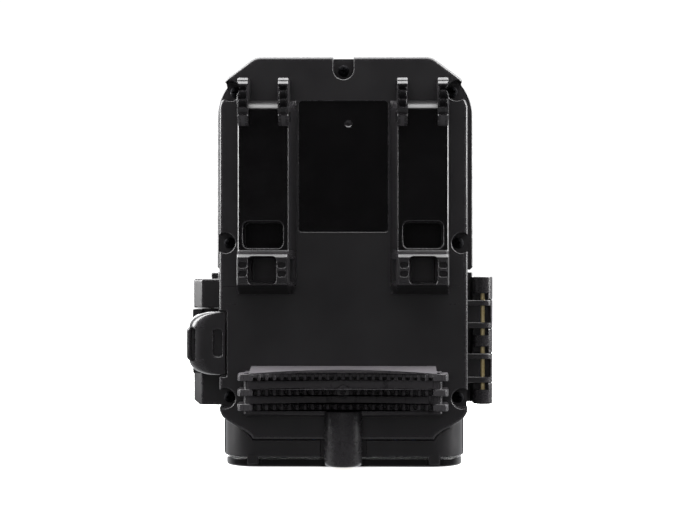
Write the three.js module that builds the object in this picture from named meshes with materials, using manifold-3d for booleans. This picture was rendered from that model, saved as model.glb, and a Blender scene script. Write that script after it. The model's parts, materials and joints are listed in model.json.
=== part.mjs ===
// Trail camera. Millimetres, +Z up, +Y towards the tree that the camera is strapped to, lens towards -Y.
// The origin is on the ground plane, on the centre line of the housing.
import * as THREE from 'three';
import { mergeVertices } from 'three/addons/utils/BufferGeometryUtils.js';
import Module from 'manifold-3d';

const wasm = await Module();
wasm.setup();

// ---- driving dimensions ----
const GAP = 0.3; // between neighbouring pieces
const WALL = 2.3;
const PLATE_Y = 26; // outer face of the rear cover
const PLATE_THICK = 2.4;
const COVER_RIM_Y = 17;
const HOUSING_REAR_Y = 16;
const HOUSING_FRONT_Y = -4;
const FRONT_Y = -34;
const DOOR_REAR_Y = -5.6;
const BODY_BOTTOM = 3.5;
const PLATE_BOTTOM = 9.8;
const PLATE_TOP = 146.7;
const FRONT_TOP = 147.3;
const FRONT_SPLIT = 70; // height of the gap between upper front housing and door
const FRONT_HALF = 47.85;
const PLATE_HALF = 44.4;
const HOUSING_HALF = 43.5;
const CHIN_Y = 25;
const CHIN_CORNER = 12;

const HINGE = { x: -51.2, y: 2, r: 3.6, pin: 0.8, z0: 21, z1: 67.8 };
const LATCH = { x: 50.8, y: -9, r: 2.9, pin: 0.8, z0: 32.7, z1: 55.7 };
const BOSS = { y: 28.8, r: 6.7, z0: 0.9, z1: 20.6, insert: 3.9, thread: 2.6, depth: 12.6 };

// ---- solids from three.js geometry ----
const X = new THREE.Vector3(1, 0, 0);
const Y = new THREE.Vector3(0, 1, 0);
const Z = new THREE.Vector3(0, 0, 1);
// A drawing's plane for each way of extruding it: (y, z) along x, (x, z) along y, (x, y) along z.
const PLANES = {
  x: new THREE.Matrix4().makeBasis(Y, Z, X),
  y: new THREE.Matrix4().makeBasis(X, Z, Y.clone().negate()),
  z: new THREE.Matrix4(),
};

function solid(geometry) {
  geometry.deleteAttribute('normal');
  geometry.deleteAttribute('uv');
  const merged = mergeVertices(geometry, 1e-4);
  const corners = merged.index.array;
  const kept = [];
  for (let i = 0; i < corners.length; i += 3) {
    const [a, b, c] = corners.slice(i, i + 3);
    if (a !== b && b !== c && c !== a) kept.push(a, b, c);
  }
  return new wasm.Manifold(new wasm.Mesh({
    numProp: 3,
    vertProperties: merged.attributes.position.array,
    triVerts: new Uint32Array(kept),
  }));
}

function join(...solids) {
  return solids.flat().reduce((all, next) => all.add(next));
}

function cut(from, ...tools) {
  return tools.flat().reduce((left, tool) => left.subtract(tool), from);
}

function box(x0, x1, y0, y1, z0, z1) {
  const geometry = new THREE.BoxGeometry(Math.abs(x1 - x0), Math.abs(y1 - y0), Math.abs(z1 - z0));
  return solid(geometry.translate((x0 + x1) / 2, (y0 + y1) / 2, (z0 + z1) / 2));
}

function prism(axis, shape, from, to, steps = 6) {
  const geometry = new THREE.ExtrudeGeometry(shape, {
    depth: to - from,
    curveSegments: steps,
    bevelEnabled: false,
  });
  geometry.applyMatrix4(PLANES[axis]);
  if (axis === 'x') geometry.translate(from, 0, 0);
  if (axis === 'y') geometry.translate(0, to, 0);
  if (axis === 'z') geometry.translate(0, 0, from);
  return solid(geometry);
}

// A body whose section changes along y: each ring is an outline in (x, z) and its y, listed from low to high y.
function loft(rings, steps = 6) {
  const loops = rings.map(([shape]) => shape.getPoints(steps));
  const first = loops[0];
  const distinct = first.map((_, i) => i).filter((i) => first[i].distanceTo(first.at(i - 1)) > 1e-6);
  if (THREE.ShapeUtils.isClockWise(first)) distinct.reverse();
  const count = distinct.length;
  const corners = loops.flatMap((loop, k) => distinct.flatMap((i) => [loop[i].x, rings[k][1], loop[i].y]));
  const faces = [];
  for (let k = 0; k + 1 < loops.length; k += 1) {
    for (let i = 0; i < count; i += 1) {
      const [a, b] = [k * count + i, k * count + ((i + 1) % count)];
      faces.push(a, a + count, b, b, a + count, b + count);
    }
  }
  const cap = THREE.ShapeUtils.triangulateShape(distinct.map((i) => first[i]), []);
  const last = (loops.length - 1) * count;
  for (const [a, b, c] of cap) {
    faces.push(a, b, c, last + a, last + c, last + b);
  }
  const geometry = new THREE.BufferGeometry();
  geometry.setAttribute('position', new THREE.Float32BufferAttribute(corners, 3));
  geometry.setIndex(faces);
  return solid(geometry);
}

function polygon(points) {
  return new THREE.Shape(points.map(([a, b]) => new THREE.Vector2(a, b)));
}

// The right-hand half of an outline, listed from top to bottom, with its mirror image.
function mirrored(points) {
  return polygon([...points, ...points.map(([a, b]) => [-a, b]).reverse()]);
}

function circle(a, b, r) {
  return new THREE.Shape().absarc(a, b, r, 0, 2 * Math.PI);
}

function roundRect(a0, a1, b0, b1, r) {
  const shape = new THREE.Shape();
  shape.absarc(a1 - r, b1 - r, r, 0, Math.PI / 2);
  shape.absarc(a0 + r, b1 - r, r, Math.PI / 2, Math.PI);
  shape.absarc(a0 + r, b0 + r, r, Math.PI, 1.5 * Math.PI);
  shape.absarc(a1 - r, b0 + r, r, 1.5 * Math.PI, 2 * Math.PI);
  return shape;
}

function rod(axis, a, b, r, from, to, steps = 6) {
  return prism(axis, circle(a, b, r), from, to, steps);
}

// A turned piece: profile points are (radius, distance along the axis); it is placed by its base.
function turned(profile, base, direction, segments = 12) {
  const geometry = new THREE.LatheGeometry(profile.map(([r, h]) => new THREE.Vector2(r, h)), segments);
  const turn = new THREE.Quaternion().setFromUnitVectors(Y, direction);
  return solid(geometry.applyQuaternion(turn).translate(...base));
}

const sides = (make) => [-1, 1].map(make);

// ---- the assembly ----
const camera = new THREE.Group();

function material(color, roughness, metalness = 0, opacity = 1) {
  return new THREE.MeshStandardMaterial({ color, roughness, metalness, opacity, transparent: opacity < 1 });
}

const SHELL = material(0x1a191c, 0.42);
const SOFT = material(0x131414, 0.8);
const BRASS = material(0xb49a5c, 0.35, 1);
const STEEL = material(0x8f9194, 0.35, 1);
const DARK_STEEL = material(0x2c2c2e, 0.4, 1);
const BOARD = material(0x1e5a34, 0.55);
const KEY = material(0x55585c, 0.6);
const CELL = material(0x3a6ea0, 0.4);
const DARK_GLASS = material(0x0b0809, 0.08, 0, 0.85);
const CLEAR = material(0xdfe4e6, 0.05, 0, 0.35);
const MILKY = material(0xd9d9d2, 0.35);

function add(name, body, look) {
  const mesh = body.getMesh();
  const geometry = new THREE.BufferGeometry();
  const points = new THREE.BufferAttribute(new Float32Array(mesh.vertProperties), 3);
  geometry.setAttribute('position', points);
  geometry.setIndex(new THREE.BufferAttribute(new Uint32Array(mesh.triVerts), 1));
  geometry.computeVertexNormals();
  const part = new THREE.Mesh(geometry, look);
  part.name = name;
  camera.add(part);
}

// ---- outlines, as seen from behind ----
function plateOutline(grow = 0) {
  return mirrored([
    [31.5 + grow / 2, PLATE_TOP + grow], [42.6 + grow, 138.4], [41.7 + grow, 134.6], [41.5 + grow, 132.6],
    [PLATE_HALF - 0.7 + grow, 131.1], [PLATE_HALF + grow, 62], [PLATE_HALF + grow, 20], [43.5 + grow, 18.1],
    [41.8 + grow, 16.6 - grow / 2], [38.7, 14.6 - grow], [35.4, 12.9 - grow], [33.2, 11.2 - grow],
    [32.4, PLATE_BOTTOM - grow],
  ]);
}

function housingOutline(grow = 0) {
  return mirrored([
    [31.2 + grow / 2, 145.9 + grow], [42 + grow, 137.8], [41.1 + grow, 134.4], [40.9 + grow, 132.4],
    [HOUSING_HALF - 0.4 + grow, 130.6], [HOUSING_HALF + grow, 62], [HOUSING_HALF + grow, BODY_BOTTOM - grow],
  ]);
}

function upperFrontOutline(grow = 0) {
  const half = FRONT_HALF + grow;
  const corner = 19.4 + grow;
  const shape = new THREE.Shape();
  shape.moveTo(-half, FRONT_SPLIT + 0.5 - grow);
  shape.lineTo(half, FRONT_SPLIT + 0.5 - grow);
  shape.absarc(half - corner, FRONT_TOP + grow - corner, corner, 0, Math.PI / 2);
  shape.absarc(corner - half, FRONT_TOP + grow - corner, corner, Math.PI / 2, Math.PI);
  return shape;
}

function doorOutline(grow = 0) {
  return mirrored([
    [FRONT_HALF - 0.6 + grow, 69.5 + grow], [FRONT_HALF + grow, 68.9 + grow], [FRONT_HALF + grow, 31],
    [43.6 + grow, 20], [43.2 + grow, 11], [41.8 + grow, 7.2], [38.2 + grow, 4.6 - grow / 2],
    [35, 3.8 - grow],
  ]);
}

// ---- screws that hold the rear cover, with the counterbores they sit in ----
const BORE_RADIUS = 3.7;
const TOP_PAIR = { x: 39, bore: 40.4 };
const SIDE_PAIR = { x: 41.2, bore: 42.3 };
const SCREWS = [
  ...[[134.6, TOP_PAIR], [80.2, SIDE_PAIR], [24.6, SIDE_PAIR]].flatMap(([z, pair]) => (
    sides((s) => ({ x: s * pair.x, z, bore: s * pair.bore }))
  )),
  { x: 0, z: 142.3, bore: 0 },
];
const SCREW_SEAT_Y = 19;

function rearScrew({ x, z }) {
  const profile = [[0, 0], [1, 0], [1, 10.3], [2, 10.3], [2, 11.4], [1.6, 12], [0, 12]];
  const body = turned(profile, [x, SCREW_SEAT_Y - 10, z], Y);
  return cut(body, rod('y', x, z, 1.1, 20.9, 23, 3));
}

// ---- rear cover: plate, strap rails, tree pad, tripod boss ----
const RAIL = { inner: 19.2, outer: 37.2, root: 16.8, middle: 28.3, face: 33, crest: 38 };

// Everything on a rail follows this plan section, wider at the plate than at its face.
function railSection(s) {
  const points = [
    [RAIL.outer + 0.5, PLATE_Y - 1], [RAIL.outer, RAIL.crest + 1], [RAIL.inner + 0.3, RAIL.crest + 1],
    [RAIL.inner, RAIL.face - 1], [RAIL.root, PLATE_Y], [RAIL.root, PLATE_Y - 1],
  ];
  return prism('z', polygon(points.map(([x, y]) => [s * x, y])), 58, 142);
}

// Side view of a rail from its curved top end, down its face, out on to the foot and back to the plate.
function railSide() {
  const shape = new THREE.Shape();
  shape.moveTo(PLATE_Y - 1, 131.2);
  shape.lineTo(PLATE_Y, 131);
  shape.quadraticCurveTo(31.8, 130.2, RAIL.face, 127.3);
  shape.lineTo(RAIL.face, 77.2);
  shape.lineTo(36.6, 76);
  shape.quadraticCurveTo(RAIL.crest, 75.6, RAIL.crest, 74.4);
  shape.lineTo(RAIL.crest, 66.4);
  shape.quadraticCurveTo(RAIL.crest - 0.2, 65.2, RAIL.crest - 1.4, 64.8);
  shape.lineTo(PLATE_Y, 61.8);
  shape.lineTo(PLATE_Y - 1, 61.8);
  return shape;
}

// Side view of a strap finger: a rounded cap, three saw teeth that point up, and a ramp to the rail's face.
const LEDGES = [133.5, 130.5, 127.6];

function fingerSide() {
  const points = [
    [PLATE_Y - 1, 138.6], [PLATE_Y + 6, 138.5], [RAIL.crest - 2.2, 138.1], [RAIL.crest - 0.5, 136.5],
    [RAIL.crest, 135.5],
  ];
  for (const ledge of LEDGES) {
    points.push([RAIL.crest - 2.4, ledge + 0.4], [RAIL.crest - 2.3, ledge], [RAIL.crest, ledge - 0.1]);
    points.push([RAIL.crest - 0.1, ledge - 0.8]);
  }
  points.push([RAIL.crest - 1.6, 125.6], [RAIL.crest - 1.5, 125.2], [RAIL.crest - 1, 124.8]);
  points.push([RAIL.face - 0.5, 121.2], [PLATE_Y - 1, 121.2]);
  return polygon(points);
}

function strapRail(s) {
  const section = railSection(s);
  const spine = prism('x', railSide(), s > 0 ? 10 : -45, s > 0 ? 45 : -10, 5);
  const fingers = [[RAIL.inner - 3, 22.9], [33.3, RAIL.outer + 3]].map(([a, b]) => (
    prism('x', fingerSide(), Math.min(s * a, s * b), Math.max(s * a, s * b))
  ));
  const body = join(spine, ...fingers).intersect(section);
  const middle = s * RAIL.middle;
  const deepPocket = prism('y', roundRect(middle - 7.1, middle + 7.1, 78.2, 87.7, 1.7), PLATE_Y - 0.8, 45, 3);
  const footPocket = prism('y', roundRect(middle - 4.7, middle + 4.7, 65.7, 75.2, 1), PLATE_Y, 45, 3);
  const strapTunnel = box(s * 10, s * 45, 29.2, 34.6, 66.6, 74.4);
  const grooveSpans = [[RAIL.inner + 1, 23.2], [34.2, RAIL.outer + 2]];
  const grooves = [72.3, 69.1].flatMap((z) => grooveSpans.map(([a, b]) => (
    box(s * a, s * b, RAIL.crest - 1.6, 45, z - 1.1, z + 1.1)
  )));
  const sideSlot = box(s * 10, s * (RAIL.inner + 1.4), 29.6, 32.8, 122.9, 126.5);
  return { body, cuts: [deepPocket, footPocket, strapTunnel, ...grooves, sideSlot] };
}

const PAD = { half: 37.2, bottom: 18.2, top: 36.2, middleY: 32, endY: 38, toothed: 33, pitch: 2.72, teeth: 24 };
const PAD_ROWS = [32.8, 27.5, 22.3];
const ROW_HALF_HEIGHT = 1.2;

// Plan of the pad: a hollow front that fits a round trunk, between rounded ends. It lies back mm behind the teeth.
function padPlan(back, half) {
  const sag = PAD.endY - PAD.middleY;
  const radius = (PAD.toothed ** 2 + sag ** 2) / (2 * sag);
  const sweep = Math.asin(PAD.toothed / radius);
  const shape = new THREE.Shape();
  shape.moveTo(half, PLATE_Y - 1);
  shape.lineTo(half, PAD.endY - 5 - back);
  const shoulder = Math.min(PAD.toothed + 0.2, half - 2);
  shape.quadraticCurveTo(half - 0.4, PAD.endY - back + 0.3, shoulder, PAD.endY - back);
  const centre = PAD.middleY - back + radius;
  shape.absarc(0, centre, radius, 1.5 * Math.PI + sweep, 1.5 * Math.PI - sweep, true);
  shape.quadraticCurveTo(0.4 - half, PAD.endY - back + 0.3, -half, PAD.endY - 5 - back);
  shape.lineTo(-half, PLATE_Y - 1);
  return shape;
}

function treePad() {
  const envelope = prism('x', polygon([
    [PLATE_Y - 1, PAD.top], [PLATE_Y, PAD.top], [PAD.endY + 2, 33.8], [PAD.endY + 2, 20.9],
    [PLATE_Y, PAD.bottom], [PLATE_Y - 1, PAD.bottom],
  ]), -45, 45);
  const within = (half) => box(-half, half, PLATE_Y - 1, 50, 0, 50).intersect(envelope);
  const web = prism('z', padPlan(2, 35.4), PAD.bottom, 34.4).intersect(within(34.9));
  const crown = prism('z', padPlan(0, 35.4), PAD_ROWS[0], PAD.top).intersect(within(33.2));
  const rows = PAD_ROWS.map((z) => (
    prism('z', padPlan(0, PAD.half), z - ROW_HALF_HEIGHT, z + ROW_HALF_HEIGHT)
  ));
  const slots = [];
  for (const z of PAD_ROWS) {
    for (let i = 0; i < PAD.teeth; i += 1) {
      const x = (i - (PAD.teeth - 1) / 2) * PAD.pitch;
      const front = PAD.middleY + (PAD.endY - PAD.middleY) * (x / PAD.toothed) ** 2;
      slots.push(box(x - 0.8, x + 0.8, front - 3, front + 3, z - ROW_HALF_HEIGHT, z + ROW_HALF_HEIGHT));
    }
  }
  const toothed = cut(join(web, crown, ...rows.map((row) => row.intersect(envelope))), ...slots);
  const gate = rod('y', 0, PAD_ROWS[1], 2.6, PLATE_Y, PAD.middleY + 0.2, 8);
  return cut(join(toothed, gate), rod('y', 0, PAD_ROWS[1], 0.9, PAD.middleY - 2, PAD.middleY + 2, 4));
}

// The boss stands on the plate and reaches down over the chin of the main housing.
function tripodBoss() {
  const round = [[0, 0], [BOSS.r - 1.4, 0], [BOSS.r - 0.4, 0.4], [BOSS.r, 1.4], [BOSS.r, BOSS.z1 - BOSS.z0]];
  const shaft = turned([...round, [0, BOSS.z1 - BOSS.z0]], [0, BOSS.y, BOSS.z0], Z, 24);
  const web = box(-BOSS.r, BOSS.r, PLATE_Y - 1, BOSS.y, PLATE_BOTTOM, BOSS.z1);
  const chinSide = box(-20, 20, 0, CHIN_Y - 0.7, -1, PLATE_BOTTOM);
  return cut(join(shaft, web), chinSide, box(-20, 20, 0, PLATE_Y - 1, PLATE_BOTTOM - 1, 30));
}

function rearCover() {
  const slab = prism('y', plateOutline(), COVER_RIM_Y, PLATE_Y);
  const columns = join(SCREWS.map(({ x, z }) => rod('y', x, z, 5.6, COVER_RIM_Y, PLATE_Y - 1)));
  const latchWall = box(39.2, 45, COVER_RIM_Y - 1, PLATE_Y, 31, 57.6);
  const inside = PLATE_Y - PLATE_THICK;
  const hollow = cut(prism('y', plateOutline(-WALL), COVER_RIM_Y - 1, inside), columns, latchWall);
  const trayMouth = box(-31.8, 31.8, COVER_RIM_Y - 1, inside, 0, 13);
  const rails = sides((s) => strapRail(s));
  const bores = SCREWS.map(({ bore, z }) => rod('y', bore, z, BORE_RADIUS, SCREW_SEAT_Y, 30, 9));
  const topNotch = box(-3.7, 3.7, SCREW_SEAT_Y, 30, 142.3, 150);
  const holes = SCREWS.map(({ x, z }) => rod('y', x, z, 1.4, COVER_RIM_Y - 2, 22, 4));
  const label = prism('y', roundRect(-16, 16, 84, 131, 1.2), PLATE_Y - 0.4, PLATE_Y + 1, 3);
  const latchCut = box(41.7, 50, COVER_RIM_Y - 1, PLATE_Y + 1, LATCH.z0 - 0.5, LATCH.z1 + 0.5);
  const shell = cut(slab, hollow, trayMouth, label, latchCut);
  const whole = join(shell, rails.map(({ body }) => body), treePad(), tripodBoss());
  const insertHole = rod('z', 0, BOSS.y, BOSS.insert + GAP, -1, BOSS.z0 + 0.3 + BOSS.depth + GAP, 8);
  return cut(whole, rails.flatMap(({ cuts }) => cuts), bores, topNotch, holes, insertHole);
}

function tripodInsert() {
  const body = rod('z', 0, BOSS.y, BOSS.insert, BOSS.z0 + 0.3, BOSS.z0 + 0.3 + BOSS.depth, 8);
  return cut(body, rod('z', 0, BOSS.y, BOSS.thread, -1, 30, 6));
}

// ---- main housing ----
const REAR_KNUCKLES = [[48.9, 59.3], [28.8, 39.6]];
const DOOR_KNUCKLES = [[59.6, HINGE.z1], [39.9, 48.6], [HINGE.z0, 28.5]];
const BAY = { half: 31.6, z0: 6.8, z1: 38.4 };

// Snap tabs on the chin that reach down into the bottom cover.
const TAB = { x0: 30.5, x1: 34.5, z0: 0.9, side: 1.1 };

function chinPlan(grow = 0) {
  const half = HOUSING_HALF + grow;
  const shape = new THREE.Shape();
  shape.moveTo(-half, 8);
  shape.lineTo(half, 8);
  shape.absarc(half - CHIN_CORNER, CHIN_Y + grow - CHIN_CORNER, CHIN_CORNER, 0, Math.PI / 2);
  shape.absarc(CHIN_CORNER - half, CHIN_Y + grow - CHIN_CORNER, CHIN_CORNER, Math.PI / 2, Math.PI);
  return shape;
}

function chin() {
  const block = prism('z', chinPlan(), BODY_BOTTOM, 18, 5);
  const coverSpace = prism('y', plateOutline(GAP), HOUSING_REAR_Y, 30);
  const bossNotch = box(-8.4, 8.4, CHIN_Y - 1, 30, 0, 20);
  const inner = prism('z', chinPlan(-WALL), BODY_BOTTOM + WALL, 30, 5);
  const tabs = sides((s) => box(s * TAB.x0, s * TAB.x1, CHIN_Y - 1.8, CHIN_Y, TAB.z0, BODY_BOTTOM + 1));
  return join(cut(block, coverSpace, bossNotch, inner), tabs);
}

function rearKnuckle([z0, z1]) {
  const barrel = rod('z', HINGE.x, HINGE.y, HINGE.r, z0, z1, 6);
  const arm = box(HINGE.x, -42.5, HINGE.y - HINGE.r, HINGE.y + HINGE.r, z0, z1);
  const pinSlot = box(HINGE.x - 2.9, HINGE.x + 0.9, HINGE.y - 1.9, HINGE.y + 6, z0 + 2.1, z1 - 2);
  const recess = box(HINGE.x, -45.4, HINGE.y + 2.2, HINGE.y + 6, z0 + 2.1, z1 - 2);
  return cut(join(barrel, arm), pinSlot, recess);
}

function mainHousing() {
  const block = prism('y', housingOutline(), HOUSING_FRONT_Y, HOUSING_REAR_Y);
  const columns = join(SCREWS.map(({ x, z }) => rod('y', x, z, 4.4, 4, HOUSING_REAR_Y)));
  const hollow = cut(prism('y', housingOutline(-WALL), HOUSING_FRONT_Y + WALL, 20), columns);
  const upperWindow = prism('y', roundRect(-38, 38, 74, 141, 3), -10, 0, 3);
  const panelWindow = box(-37, 37, -10, 0, 41, 66.5);
  const bayWindow = box(-BAY.half, BAY.half, -10, 0, BAY.z0, BAY.z1);
  const holes = SCREWS.map(({ x, z }) => rod('y', x, z, 1.3, 7, 20, 4));
  const latchPath = box(42.8, 50, 7, 20, LATCH.z0 - 0.5, LATCH.z1 + 0.5);
  const shell = join(cut(block, hollow, upperWindow, panelWindow, bayWindow), chin());
  const mouth = box(-BAY.half, BAY.half, 5, CHIN_Y - WALL, BODY_BOTTOM + WALL, 25);
  const pinHole = rod('z', HINGE.x, HINGE.y, HINGE.pin + GAP, 10, 80, 5);
  return cut(join(cut(shell, mouth), REAR_KNUCKLES.map(rearKnuckle)), pinHole, holes, latchPath);
}

function ringBetween(outer, inner, y0, y1) {
  return cut(prism('y', outer, y0, y1), prism('y', inner, y0 - 1, y1 + 1));
}

// The gasket runs along the rim, widens round each screw and steps inward past the latch hook.
function coverGasket() {
  const [y0, y1] = [HOUSING_REAR_Y + GAP, COVER_RIM_Y - GAP];
  const ring = ringBetween(plateOutline(-0.6), plateOutline(-2), y0, y1);
  const pads = SCREWS.map(({ x, z }) => rod('y', x, z, 3.6, y0, y1, 4));
  const step = box(39.8, 43.2, y0, y1, LATCH.z0 - 2, LATCH.z1 + 2);
  const whole = join(ring, pads, step).intersect(prism('y', plateOutline(-0.6), 0, 30));
  const open = box(-33, 33, 0, 30, 0, 13);
  const latchSide = box(41.3, 50, 0, 30, LATCH.z0 - 0.6, LATCH.z1 + 0.6);
  return cut(whole, open, latchSide, SCREWS.map(({ x, z }) => rod('y', x, z, 1.5, 0, 30, 3)));
}

// ---- front parts ----
const LENS = { x: 0, z: 108, r: 9.5 };
const IR = { half: 30, z0: 123, z1: 141.5 };
const MOTION = { half: 13, z0: 78.5, z1: 95.5 };

function frontShell(outline, rearY, mouth) {
  const block = loft([
    [outline(-2.6), FRONT_Y], [outline(-1), FRONT_Y + 0.8], [outline(0), FRONT_Y + 3], [outline(0), rearY],
  ]);
  const hollow = prism('y', outline(-WALL - 0.4), FRONT_Y + WALL, rearY - WALL);
  return cut(block, hollow, mouth);
}

function upperFrontHousing() {
  const mouth = prism('y', roundRect(-41.6, 41.6, 73.5, 143, 12), -20, 5, 4);
  const shell = frontShell(upperFrontOutline, HOUSING_FRONT_Y - GAP, mouth);
  const brow = prism('x', polygon([
    [FRONT_Y + 1, 145.6], [FRONT_Y - 1.6, 144.6], [FRONT_Y - 3, 142.6], [FRONT_Y - 3, 141.9],
    [FRONT_Y + 1, 142.1],
  ]), -28, 28);
  const lensRim = rod('y', LENS.x, LENS.z, LENS.r + 3, FRONT_Y - 1.6, FRONT_Y + 1, 12);
  const rim = 2.4;
  const motionFrame = roundRect(-MOTION.half - rim, MOTION.half + rim, MOTION.z0 - rim, MOTION.z1 + rim, 4);
  const motionRim = prism('y', motionFrame, FRONT_Y - 1.2, FRONT_Y + 1, 4);
  const openings = [
    rod('y', LENS.x, LENS.z, LENS.r, -50, -20, 12),
    prism('y', roundRect(-IR.half, IR.half, IR.z0, IR.z1, 4), -50, -20, 4),
    box(-MOTION.half, MOTION.half, -50, -20, MOTION.z0, MOTION.z1),
  ];
  return cut(join(shell, brow, lensRim, motionRim), openings);
}

function doorKnuckle([z0, z1], index) {
  const barrel = rod('z', HINGE.x, HINGE.y, HINGE.r, z0, z1, 6);
  const arm = prism('z', polygon([
    [HINGE.x - HINGE.r, HINGE.y], [HINGE.x - HINGE.r, -8.5], [-44.2, -17], [-43.4, DOOR_REAR_Y - 0.4],
    [-47, DOOR_REAR_Y - 0.4], [HINGE.x + HINGE.r, -1.4], [HINGE.x + HINGE.r, HINGE.y],
  ]), z0, z1);
  const window = (low) => box(HINGE.x - 1.9, HINGE.x + 5, HINGE.y - 0.8, HINGE.y + 6, low, low + 2.3);
  const windows = [];
  if (index > 0) windows.push(window(z1 - 2.3));
  if (index < 2) windows.push(window(z0));
  return cut(join(barrel, arm), ...windows);
}

// One flange along the whole hinge carries the door's knuckles.
function hingeFlange() {
  const outer = HINGE.x - HINGE.r;
  return prism('z', polygon([
    [outer, HINGE.y - HINGE.r - 0.8], [outer, -8.5], [-44.2, -17], [-43.4, DOOR_REAR_Y - 0.4],
    [-47, DOOR_REAR_Y - 0.4], [HINGE.x + HINGE.r, HINGE.y - HINGE.r - 0.8],
  ]), HINGE.z0, HINGE.z1);
}

// Blocks on the door that carry the latch pin; the corner towards the tree and outward is chamfered.
function latchBlock([z0, z1]) {
  const plan = polygon([
    [43.3, -19], [54, -19], [57.3, -15], [57.3, DOOR_REAR_Y - 3.4], [53.8, DOOR_REAR_Y], [43.3, DOOR_REAR_Y],
  ]);
  return prism('z', plan, z0, z1);
}

const LATCH_BLOCKS = [[19.5, 32.3], [56.1, 67.2]];

function frontDoor() {
  const mouth = prism('y', roundRect(-42, 42, 7.6, 66.1, 5), -20, 5, 3);
  const shell = frontShell(doorOutline, DOOR_REAR_Y, mouth);
  const face = prism('y', roundRect(-37, 37, 14, 61, 5), -50, FRONT_Y + 0.8, 4);
  const ribs = [24, 37.5, 51].map((z) => (
    prism('y', roundRect(-31, 31, z - 1.6, z + 1.6, 1.5), FRONT_Y, FRONT_Y + 1.5, 3)
  ));
  const tab = box(43.5, 50.6, -15, -8.5, 67, 69.4);
  const fittings = join(DOOR_KNUCKLES.map(doorKnuckle), hingeFlange(), LATCH_BLOCKS.map(latchBlock), tab);
  const hingeHole = rod('z', HINGE.x, HINGE.y, HINGE.pin + GAP, 22.2, 66.6, 5);
  const latchHole = rod('z', LATCH.x, LATCH.y, LATCH.pin + GAP, 22, 65, 5);
  return cut(join(cut(shell, face), ribs, fittings), hingeHole, latchHole);
}

function doorGasket() {
  const [outer, inner] = [roundRect(-42.8, 42.8, 5, 68.2, 5), roundRect(-40.4, 40.4, 6.4, 66.4, 4)];
  return ringBetween(outer, inner, DOOR_REAR_Y + GAP, HOUSING_FRONT_Y - GAP);
}

// ---- latch ----
function latchLever() {
  const shape = new THREE.Shape();
  shape.absarc(LATCH.x, LATCH.y, LATCH.r, Math.PI, 2 * Math.PI);
  shape.lineTo(55.6, -5);
  shape.lineTo(56, 18.6);
  shape.quadraticCurveTo(55.8, 25.4, 49.6, 25.6);
  shape.lineTo(42.5, 25.6);
  shape.lineTo(42.3, 23.2);
  shape.lineTo(49.4, 23);
  shape.quadraticCurveTo(52.4, 22.6, 52.6, 19.6);
  shape.lineTo(52.9, -4.6);
  shape.lineTo(LATCH.x - LATCH.r + 0.6, -6.6);
  const body = prism('z', shape, LATCH.z0, LATCH.z1, 5);
  const thumb = prism('y', polygon([
    [53, 36.6], [57, 38.4], [57, 49.2], [53, 50.7],
  ]), 18.4, 21.4);
  const window = prism('y', roundRect(43.6, 46.8, 39.5, 49.1, 0.8), 20, 30, 3);
  const corners = [[LATCH.z0, 1], [LATCH.z1, -1]].map(([z, up]) => prism('y', polygon([
    [46.5, z - up], [58, z - up], [58, z + 6 * up], [56, z + 5 * up], [54.9, z + 2.6 * up],
    [52.4, z + 0.9 * up], [48, z],
  ]), 6, 30));
  const rib = box(45.2, 53.4, 14.2, 15.6, LATCH.z0 + 3, LATCH.z1 - 3);
  return cut(join(body, thumb, rib), window, corners, rod('z', LATCH.x, LATCH.y, LATCH.pin + GAP, 20, 70, 5));
}

// ---- bottom cover ----
const COVER_TOP = BODY_BOTTOM - 0.8;

function bottomCover() {
  const half = 42.8;
  const plan = new THREE.Shape();
  plan.absarc(half - CHIN_CORNER, CHIN_Y - 0.4 - CHIN_CORNER, CHIN_CORNER, 0, Math.PI / 2);
  plan.absarc(CHIN_CORNER - half, CHIN_Y - 0.4 - CHIN_CORNER, CHIN_CORNER, Math.PI / 2, Math.PI);
  plan.absarc(8 - half, FRONT_Y + 9.5, 8, Math.PI, 1.5 * Math.PI);
  plan.absarc(half - 8, FRONT_Y + 9.5, 8, 1.5 * Math.PI, 2 * Math.PI);
  const side = new THREE.Shape();
  side.moveTo(half, 4);
  side.lineTo(half, 2.6);
  side.quadraticCurveTo(half, 0, half - 4, 0);
  side.lineTo(4 - half, 0);
  side.quadraticCurveTo(-half, 0, -half, 2.6);
  side.lineTo(-half, 4);
  const slab = prism('z', plan, 0, COVER_TOP, 5).intersect(prism('y', side, -40, 30, 4));
  const bossNotch = box(-8.4, 8.4, CHIN_Y - 1, 30, -1, 5);
  const tabSlots = sides((s) => (
    box(s * (TAB.x0 - TAB.side), s * (TAB.x1 + TAB.side), CHIN_Y - 2.3, 30, TAB.z0 - GAP, 5)
  ));
  return cut(slab, bossNotch, tabSlots);
}

// ---- optics and electronics ----
const PANEL_Y = -6;

function lensBarrel() {
  const profile = [[0, 0], [7.4, 0], [7.4, 6], [8.4, 6], [8.4, 17], [6.4, 17], [5.4, 12.6], [0, 12.6]];
  return turned(profile, [LENS.x, -16, LENS.z], Y.clone().negate(), 20);
}

function lensGlass() {
  return turned([[0, 0], [4.9, 0], [5.3, 1.2], [4, 2.3], [2.2, 3], [0, 3.2]], [LENS.x, -29, LENS.z],
    Y.clone().negate(), 20);
}

function lensRing() {
  const outer = rod('y', LENS.x, LENS.z, LENS.r - GAP, FRONT_Y - 1.2, FRONT_Y + 0.7, 12);
  return cut(outer, rod('y', LENS.x, LENS.z, 6.9, -50, -20, 12));
}

function ledBoard() {
  const board = box(-29, 29, -27.4, -25.8, 123.6, 140.9);
  const leds = [];
  for (let row = 0; row < 2; row += 1) {
    for (let column = 0; column < 9; column += 1) {
      leds.push(rod('y', (column - 4) * 6.3, 128.8 + row * 7, 1.6, -29.6, -27, 3));
    }
  }
  return join(board, leds);
}

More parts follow.
